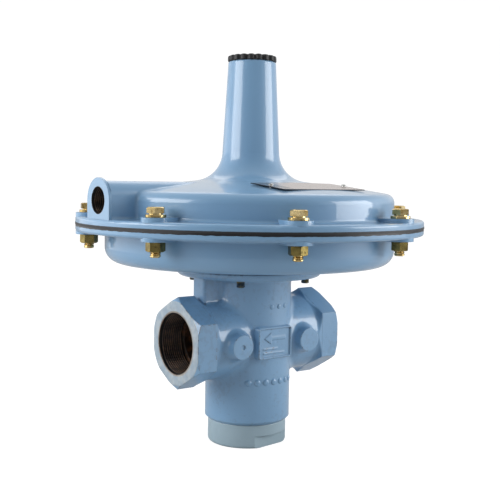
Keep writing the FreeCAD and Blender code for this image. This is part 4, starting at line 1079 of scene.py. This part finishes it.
def neck_fillet(side):
    def place(u, v):
        turn = 2 * math.pi * u
        y = (NECK + BALL) * math.sin(turn)
        z = (NECK + BALL) * math.cos(turn)
        x = math.sqrt((BARREL + BALL) ** 2 - y * y)
        centre = Vector((x, y, z))
        on_barrel = Vector((x, y, 0)) * (-BALL / (BARREL + BALL))
        on_neck = Vector((0, y, z)) * (-BALL / (NECK + BALL))
        arm = on_barrel.slerp(on_neck, v).normalized() * BALL
        spot = centre + arm
        return Vector((side * spot.x, spot.y, PIPE + spot.z))

    return place


bm = bmesh.new()
for side in (-1, 1):
    roll(bm, 96, 8, neck_fillet(side))


def off_the_corner(c):
    level = Vector((c.x, c.y, 0)).normalized()
    return level + Vector((0, c.y, c.z - PIPE)).normalized()


piece("neck_fillets", bm, body_enamel, sharp=80, outward=off_the_corner)

# %% [markdown]
# ## Fillets round the bosses
# A boss is drafted, and stands where barrel and neck meet, so the ball is replaced by a
# simpler rule: from the line where the boss meets the body, go one step up the boss and one
# step out along the body, and join the two with a curve that leaves both smoothly.

# %% Fillets round the bosses
BOSS_X = 39.6
BOSS_Z = -110.0
BOSS_ROOT = (16.4, -15.8)
BOSS_TOP = (11.2, -45.8)
BOSS_STEP = 4.5


def boss_radius(y):
    share = (y - BOSS_ROOT[1]) / (BOSS_TOP[1] - BOSS_ROOT[1])
    return BOSS_ROOT[0] + share * (BOSS_TOP[0] - BOSS_ROOT[0])


def front(x, z):
    """The front of barrel, neck and the round between them, as a smooth highest point."""
    barrel = math.sqrt(max(0.0, BARREL**2 - x * x))
    neck = math.sqrt(max(0.0, NECK**2 - (z - PIPE) ** 2))
    gap = max(0.0, 7.0 - abs(barrel - neck)) / 7.0
    return -(max(barrel, neck) + gap * gap * 7.0 / 4)


def boss_fillet(side):
    def place(u, v):
        turn = 2 * math.pi * u
        ray = Vector((math.cos(turn), 0, math.sin(turn)))
        y = -30.0
        for _ in range(12):
            foot = Vector((side * BOSS_X, 0, BOSS_Z)) + ray * boss_radius(y)
            y = 0.5 * y + 0.5 * front(foot.x, foot.z)
        corner = Vector((foot.x, y, foot.z))
        draft = boss_radius(y - BOSS_STEP) - boss_radius(y)
        up = corner + Vector((0, -BOSS_STEP, 0)) + ray * draft
        out = corner + ray * BOSS_STEP
        out.y = front(out.x, out.z) + 0.15
        return up.lerp(corner, v).lerp(corner.lerp(out, v), v)

    return place


bm = bmesh.new()
for side in (-1, 1):
    roll(bm, 72, 7, boss_fillet(side))


def off_the_boss(c):
    middle = Vector((math.copysign(BOSS_X, c.x), c.y, BOSS_Z))
    return (c - middle).normalized() + Vector((0, -1, 0))


piece("boss_fillets", bm, body_enamel, sharp=80, outward=off_the_boss)

# %% [markdown]
# ## Fillets along the impulse rib
# The impulse rib is a block with straight sides, so its rounds are straight strips: one up
# each side against the barrel, one along each side on top of the neck, and one across its foot.

# %% Fillets along the impulse rib
RIB_HALF = 9.5
RIB_FACE = -59.0
RIB_BALL = 4.0
RIB_TOP = -49.4
NECK_TOP = PIPE + NECK


def straight_strip(start, end, arm_a, arm_b):
    def place(u, v):
        return start.lerp(end, u) + arm_a.slerp(arm_b, v).normalized() * RIB_BALL

    return place


bm = bmesh.new()
for side in (-1, 1):
    y = side * (RIB_HALF + RIB_BALL)
    x = -math.sqrt((BARREL + RIB_BALL) ** 2 - y * y)
    to_rib = Vector((0, -side, 0))
    to_barrel = Vector((-x, -y, 0)).normalized()
    top, foot = Vector((x, y, RIB_TOP)), Vector((x, y, NECK_TOP - 2))
    roll(bm, 1, 6, straight_strip(top, foot, to_rib, to_barrel))
    height = PIPE + math.sqrt((NECK + RIB_BALL) ** 2 - y * y)
    to_neck = Vector((0, -y, PIPE - height)).normalized()
    inner, outer = Vector((-42, y, height)), Vector((RIB_FACE + 2, y, height))
    roll(bm, 1, 6, straight_strip(inner, outer, to_rib, to_neck))


def off_the_rib(c):
    return Vector((-0.3, math.copysign(1, c.y), 0.5))


piece("rib_fillets", bm, body_enamel, sharp=80, outward=off_the_rib)

# %% [markdown]
# ## Rounds at the roots of the hexagons
# Where a flat of the hexagon is cut, it also takes a slice off the round at the hexagon's
# root. So the round is drawn with the smaller of two radii at every angle: the ball's round
# and the hexagon's own. Each flat then runs out on the neck in a tongue, as on a real casting.

# %% Rounds at the roots of the two hexagons
HEX_FLATS = 74.48
HEX_REAR = 63.1
HEX_BALL = 6.0


def hexagon_root(side):
    def place(u, v):
        turn = 2 * math.pi * u
        out = HEX_BALL * v
        round_radius = NECK - 0.05 + HEX_BALL - math.sqrt(HEX_BALL**2 - (HEX_BALL - out) ** 2)
        radius = min(round_radius, hexagon(HEX_FLATS, turn))
        y, z = -radius * math.cos(turn), PIPE + radius * math.sin(turn)
        return Vector((side * (HEX_REAR - out), y, z))

    return place


bm = bmesh.new()
for side in (-1, 1):
    roll(bm, 180, 14, hexagon_root(side))


def off_the_pipe(c):
    return Vector((-math.copysign(0.2, c.x), c.y, c.z - PIPE))


piece("hexagon_roots", bm, body_enamel, sharp=35, outward=off_the_pipe)

# %% [markdown]
# ## The cast panel on the barrel
# A flat panel with a raised border stands on the front of the barrel. Where the foundry's
# mark would be there is a plain arrow that points the way of the flow, from the inlet to the
# outlet, over two blank bars. Rows of round date dots stand for the casting numbers.

# %% The panel
PANEL_HALF = 19.4
PANEL_TOP = -94.8
PANEL_BOTTOM = -124.2
PANEL_MIDDLE = (PANEL_TOP + PANEL_BOTTOM) / 2
PANEL_FLOOR = -41.4
PANEL_RIM = -42.9


def on_barrel(x):
    return 0.2 - math.sqrt(BARREL**2 - x * x)


def rounded_box(u, half_width, half_height, corner):
    """A point on a rectangle with rounded corners, and the direction outward there."""
    turn = 2 * math.pi * u
    ray = Vector((math.cos(turn), math.sin(turn)))
    scale = min(half_width / max(abs(ray.x), 1e-6), half_height / max(abs(ray.y), 1e-6))
    core_x, core_y = half_width - corner, half_height - corner
    edge = ray * scale
    core = Vector((max(-core_x, min(core_x, edge.x)), max(-core_y, min(core_y, edge.y))))
    away = (edge - core).normalized()
    return core + away * corner, away


PANEL_STEPS = [
    (0.7, None),
    (0.25, PANEL_RIM + 0.5),
    (-0.15, PANEL_RIM),
    (-1.25, PANEL_RIM),
    (-1.65, PANEL_RIM + 0.4),
    (-1.9, PANEL_FLOOR),
]


def panel_place(u, v):
    spot, away = rounded_box(u, PANEL_HALF, (PANEL_TOP - PANEL_BOTTOM) / 2, 2.2)
    step = round(v * len(PANEL_STEPS))
    if step == len(PANEL_STEPS):
        return Vector((0, PANEL_FLOOR, PANEL_MIDDLE))
    offset, level = PANEL_STEPS[step]
    spot = spot + away * offset
    if level is None:
        level = on_barrel(spot.x)
    return Vector((spot.x, level, PANEL_MIDDLE + spot.y))


print("panel", 2 * PANEL_HALF, "by", round(PANEL_TOP - PANEL_BOTTOM, 1), "mm")

# %% [markdown]
# The arrow and the bars are strips of the same grid. Their height rises from 0 at the outline
# to its full value a little way in, so their edges slope as they must in a mould.

# %% Arrow and bars on the panel
ARROW_TIP = -13.0
ARROW_END = 13.0
ARROW_NECK = -4.0
ARROW_HEAD = 6.0
ARROW_SHAFT = 2.0


def arrow_place(u, v):
    along = ARROW_TIP + (ARROW_END - ARROW_TIP) * u
    half = ARROW_HEAD * (along - ARROW_TIP) / (ARROW_NECK - ARROW_TIP)
    if along > ARROW_NECK:
        half = ARROW_SHAFT
    across = (2 * v - 1) * half
    edge = min(half - abs(across), along - ARROW_TIP, ARROW_END - along)
    rise = 1.0 * min(1.0, max(0.0, edge) / 0.6)
    return Vector((along, PANEL_FLOOR + 0.1 - rise, PANEL_MIDDLE + 4.2 + across))


def bar_place(left, right, height):
    def place(u, v):
        edge = min(u, 1 - u) * (right - left)
        rise = 0.9 * math.sin(math.pi * v) ** 0.5 * min(1.0, edge / 0.6)
        x, z = left + (right - left) * u, height + (v - 0.5) * 2.0
        return Vector((x, PANEL_FLOOR + 0.1 - rise, z))

    return place


bm = bmesh.new()
roll(bm, 144, len(PANEL_STEPS), panel_place)
roll(bm, 78, 16, arrow_place)
roll(bm, 24, 6, bar_place(-14, 4, PANEL_MIDDLE - 5.5))
roll(bm, 24, 6, bar_place(-14, 12, PANEL_MIDDLE - 9.5))


def off_the_panel(c):
    return Vector((0.1 * c.x, -20, 0.1 * (c.z - PANEL_MIDDLE)))


piece("cast_panel", bm, body_enamel, sharp=35, outward=off_the_panel)

# %% [markdown]
# ## Rows of date dots
# Casting numbers and dates are set in loose type, in rows round the barrel. Here low round
# dots stand for them, a row of seven below the panel and a row of three above it.

# %% Date dots
def dot(bm, degrees, height, radius, rise):
    turn = math.radians(degrees)
    away = Vector((math.sin(turn), -math.cos(turn), 0))
    lay = away.to_track_quat("Z", "Y").to_matrix().to_4x4()
    spot = Matrix.Translation(away * (BARREL - 0.15) + Vector((0, 0, height))) @ lay
    dome = [at(radius * math.sin(t), rise * math.cos(t)) for t in (0.0, 0.4, 0.8, 1.2, 1.57)]
    rings(bm, 20, dome, spot)


bm = bmesh.new()
for degrees in (-36, -24, -12, 0, 12, 24, 36):
    dot(bm, degrees, -147, 3.2, 1.5)
for degrees in (-5, 7, 19):
    dot(bm, degrees, -76, 2.4, 1.2)


def off_the_barrel(c):
    return Vector((c.x, c.y, 0))


piece("date_dots", bm, body_enamel, sharp=60, outward=off_the_barrel)

# %% [markdown]
# ## The seal cap
# The cap is moulded plastic with eighteen lobes to grip. Each lobe is wide and each valley
# narrow, and the top edge is turned off at a slant, so the edge waves up and down as it goes
# round. Its plug carries the thread that screws into the tower, and it rides on the cap's body.

# %% Seal cap
CAP_LOBES = 18
CAP_RADIUS = 23.2
CAP_UNDER = 153.7
CAP_TOP = 159.0


def lobe(outer, depth, level, droop=0.0):
    def entry(angle):
        valley = (0.5 + 0.5 * math.cos(CAP_LOBES * angle)) ** 2.5
        return outer - depth * valley, level - droop * valley

    return entry


bm = bmesh.new()
rings(
    bm,
    216,
    [
        at(0, CAP_TOP - 1.2),
        at(14.6, CAP_TOP - 1.2),
        at(15.4, CAP_TOP - 0.9),
        at(16.2, CAP_TOP),
        lobe(20.6, 1.2, CAP_TOP, 0.5),
        lobe(22.2, 1.7, CAP_TOP - 0.35, 0.9),
        lobe(CAP_RADIUS - 0.1, 2.0, CAP_TOP - 1.2, 0.6),
        lobe(CAP_RADIUS, 2.0, CAP_TOP - 2.0),
        lobe(CAP_RADIUS, 2.0, CAP_UNDER + 0.4),
        lobe(CAP_RADIUS - 0.4, 1.7, CAP_UNDER),
        at(19.0, CAP_UNDER),
        at(17.9, CAP_UNDER + 0.6),
        at(17.9, 151.5),
        at(17.2, 151.0),
        at(17.2, 143.4),
        at(16.4, 142.7),
        at(15.0, 142.7),
        at(15.0, CAP_UNDER),
        at(0, CAP_UNDER),
    ],
)
thread(bm, 17.95, 0.75, INCH / 14, 143.2, 151.2, 72)
cap = piece("lobed_cap", bm, cap_plastic, body="cap", sharp=28)
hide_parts("seal_cap")

# %% [markdown]
# ## The nameplate
# The plate is thin sheet, bent by hand to lie on the dome. The dome is a cone, which falls
# away faster than a bent sheet does, so the plate's two ends stand a little off it.

# %% Bent nameplate
SLOPE_RUN = 112.0 - 28.5
SLOPE_RISE = 43.5 - 33.6
PLATE_LIFT = 1.3
PLATE_THICKNESS = 0.8


def plate_height(x, y):
    """Height of the underside of the plate."""
    cone = 33.6 + (112.0 - math.hypot(x, y)) * SLOPE_RISE / SLOPE_RUN
    return cone + 0.45 + PLATE_LIFT * (x / PLATE_HALF_LENGTH) ** 2


def plate_place(u, v):
    x = (2 * u - 1) * PLATE_HALF_LENGTH
    y = PLATE_MIDDLE + (2 * v - 1) * PLATE_HALF_WIDTH
    return Vector((x, y, plate_height(x, y)))


bm = bmesh.new()
roll(bm, 32, 12, plate_place)
bmesh.ops.recalc_face_normals(bm, faces=bm.faces)
bmesh.ops.solidify(bm, geom=bm.faces[:], thickness=PLATE_THICKNESS)
plate = piece("bent_nameplate", bm, plate_finish, sharp=40)
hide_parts("nameplate")

# %% [markdown]
# ## Drive pins
# Two pins with domed heads, hammered in, hold the plate down. Each leans with the dome.

# %% Drive pins
SLOPE = math.atan2(SLOPE_RISE, SLOPE_RUN)
PIN_ALONG = 42.5

bm = bmesh.new()
for side in (-1, 1):
    seat = plate_height(PIN_ALONG, PLATE_MIDDLE) + PLATE_THICKNESS
    turn = Matrix.Rotation(math.atan2(PLATE_MIDDLE, side * PIN_ALONG), 4, "Z")
    lean = turn @ Matrix.Rotation(SLOPE, 4, "Y")
    spot = Matrix.Translation((side * PIN_ALONG, PLATE_MIDDLE, seat)) @ lean
    dome = [at(2.5 * math.cos(t), 1.3 * math.sin(t)) for t in (1.57, 1.2, 0.8, 0.4, 0.0)]
    rings(bm, 28, [*dome, at(1.2, 0), at(1.2, -3.0), at(0, -3.0)], spot)
pins = piece("drive_pins", bm, steel, sharp=40)
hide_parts("nameplate_pins")

# %% [markdown]
# ## Soft pieces that reach across a joint
# The big diaphragm is held by the case at its rim and by two plates on the stem in its
# middle, and only its roll takes up the travel. A bend between two bodies runs along a
# straight line, so the sheet is cut into sectors like a cake, each with a straight middle.
# Neighbours share a cut at the same distance from both middles. Copies of the bare shapes
# keep the bolt holes.

# %% Cutting a copy of a bare shape
def cut_copy(source, name, finish, planes):
    """A copy of a node's shape without what lies beyond each plane, on its normal's side."""
    bm = bmesh.new()
    bm.from_mesh(nodes[source].data)
    bmesh.ops.transform(bm, matrix=nodes[source].matrix_world, verts=bm.verts)
    bmesh.ops.remove_doubles(bm, verts=bm.verts, dist=1e-7)
    for point, normal in planes:
        parts = bm.verts[:] + bm.edges[:] + bm.faces[:]
        bmesh.ops.bisect_plane(bm, geom=parts, plane_co=point, plane_no=normal, clear_outer=True)
    smooth(bm, 32)
    made = as_object(name, bm, finish)
    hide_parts(source)
    return made


print("bare diaphragm", len(nodes["main_diaphragm"].data.polygons), "faces")

# %% [markdown]
# ## The two rolling diaphragms
# In the valve the inner edge of each roll moves with the stem and the outer edge stays with
# the housing. Here both are cut into sectors: the small diaphragm under the disc is made the
# same way as the big one.

# %% Both diaphragms in sectors
def sectors(source, count):
    for i in range(count):
        first, last = 2 * math.pi * i / count, 2 * math.pi * (i + 1) / count
        planes = [
            ((0, 0, 0), (math.sin(first), -math.cos(first), 0)),
            ((0, 0, 0), (-math.sin(last), math.cos(last), 0)),
        ]
        made = cut_copy(source, f"{source}_sector_{i + 1}", rubber, planes)
        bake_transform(made)
    print(source, count, "sectors, the last with", len(made.data.polygons), "faces")


sectors("main_diaphragm", 16)
sectors("balance_diaphragm", 12)

# %% [markdown]
# ## The control spring
# The stem pushes the spring from below and the adjusting screw presses it from above. It is
# cut at half its height, where it keeps its place, into a lower and an upper half.

# %% Two halves of the spring
spring_low, spring_high = (corner.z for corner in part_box("control_spring"))
half = (spring_low + spring_high) / 2
middle = (0, 0, half)
keep_below, keep_above = [(middle, (0, 0, 1))], [(middle, (0, 0, -1))]


def half_spring(name, planes):
    return cut_copy("control_spring", name, oiled_spring, planes)


lower_half = half_spring("control_spring_lower_half", keep_below)
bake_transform(lower_half)
upper_half = half_spring("control_spring_upper_half", keep_above)
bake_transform(upper_half)
print("spring", round((spring_high - spring_low) / MM, 1), "mm long at rest")

# %% [markdown]
# ## Each shape gets its finish
# A table gives each finish the nodes that wear it. A node keeps its mesh; only its material
# slot changes.

# %% Finishes by node
FINISH = {
    case_enamel: ["upper_casing", "lower_casing"],
    body_enamel: ["valve_body"],
    plug_paint: ["bottom_plug"],
    zinc_yellow: ["casing_bolts", "casing_lock_washers", "body_bolts", "body_bolt_washers"],
    zinc_olive: ["casing_nuts"],
    brass: ["disc_holder", "disc_retainer", "holder_nut", "stem_guide", "lower_guide_bush"],
    steel: ["seat_ring", "valve_stem", "upper_plate", "lower_plate", "lower_spring_seat"],
    rubber: ["valve_disc", "stem_seal", "main_diaphragm", "balance_diaphragm", "plug_seal"],
    fibre_sheet: ["body_gasket", "seat_gasket"],
    oiled_spring: ["control_spring"],
    aluminium: ["adjusting_screw"],
    cap_plastic: ["seal_cap"],
    plate_finish: ["nameplate"],
}
FINISH[brass] += ["stem_sleeve", "balance_piston"]
FINISH[steel] += ["stem_nut", "balance_washer", "balance_nut", "upper_spring_seat"]
FINISH[steel] += ["nameplate_pins", "vent_screen"]
FINISH[rubber] += ["cap_gasket"]
dressed = 0
for finish, names in FINISH.items():
    for name in names:
        nodes[name].data.materials.clear()
        nodes[name].data.materials.append(finish)
        dressed += 1
print(dressed, "of", len(nodes), "nodes with", len(FINISH), "finishes")
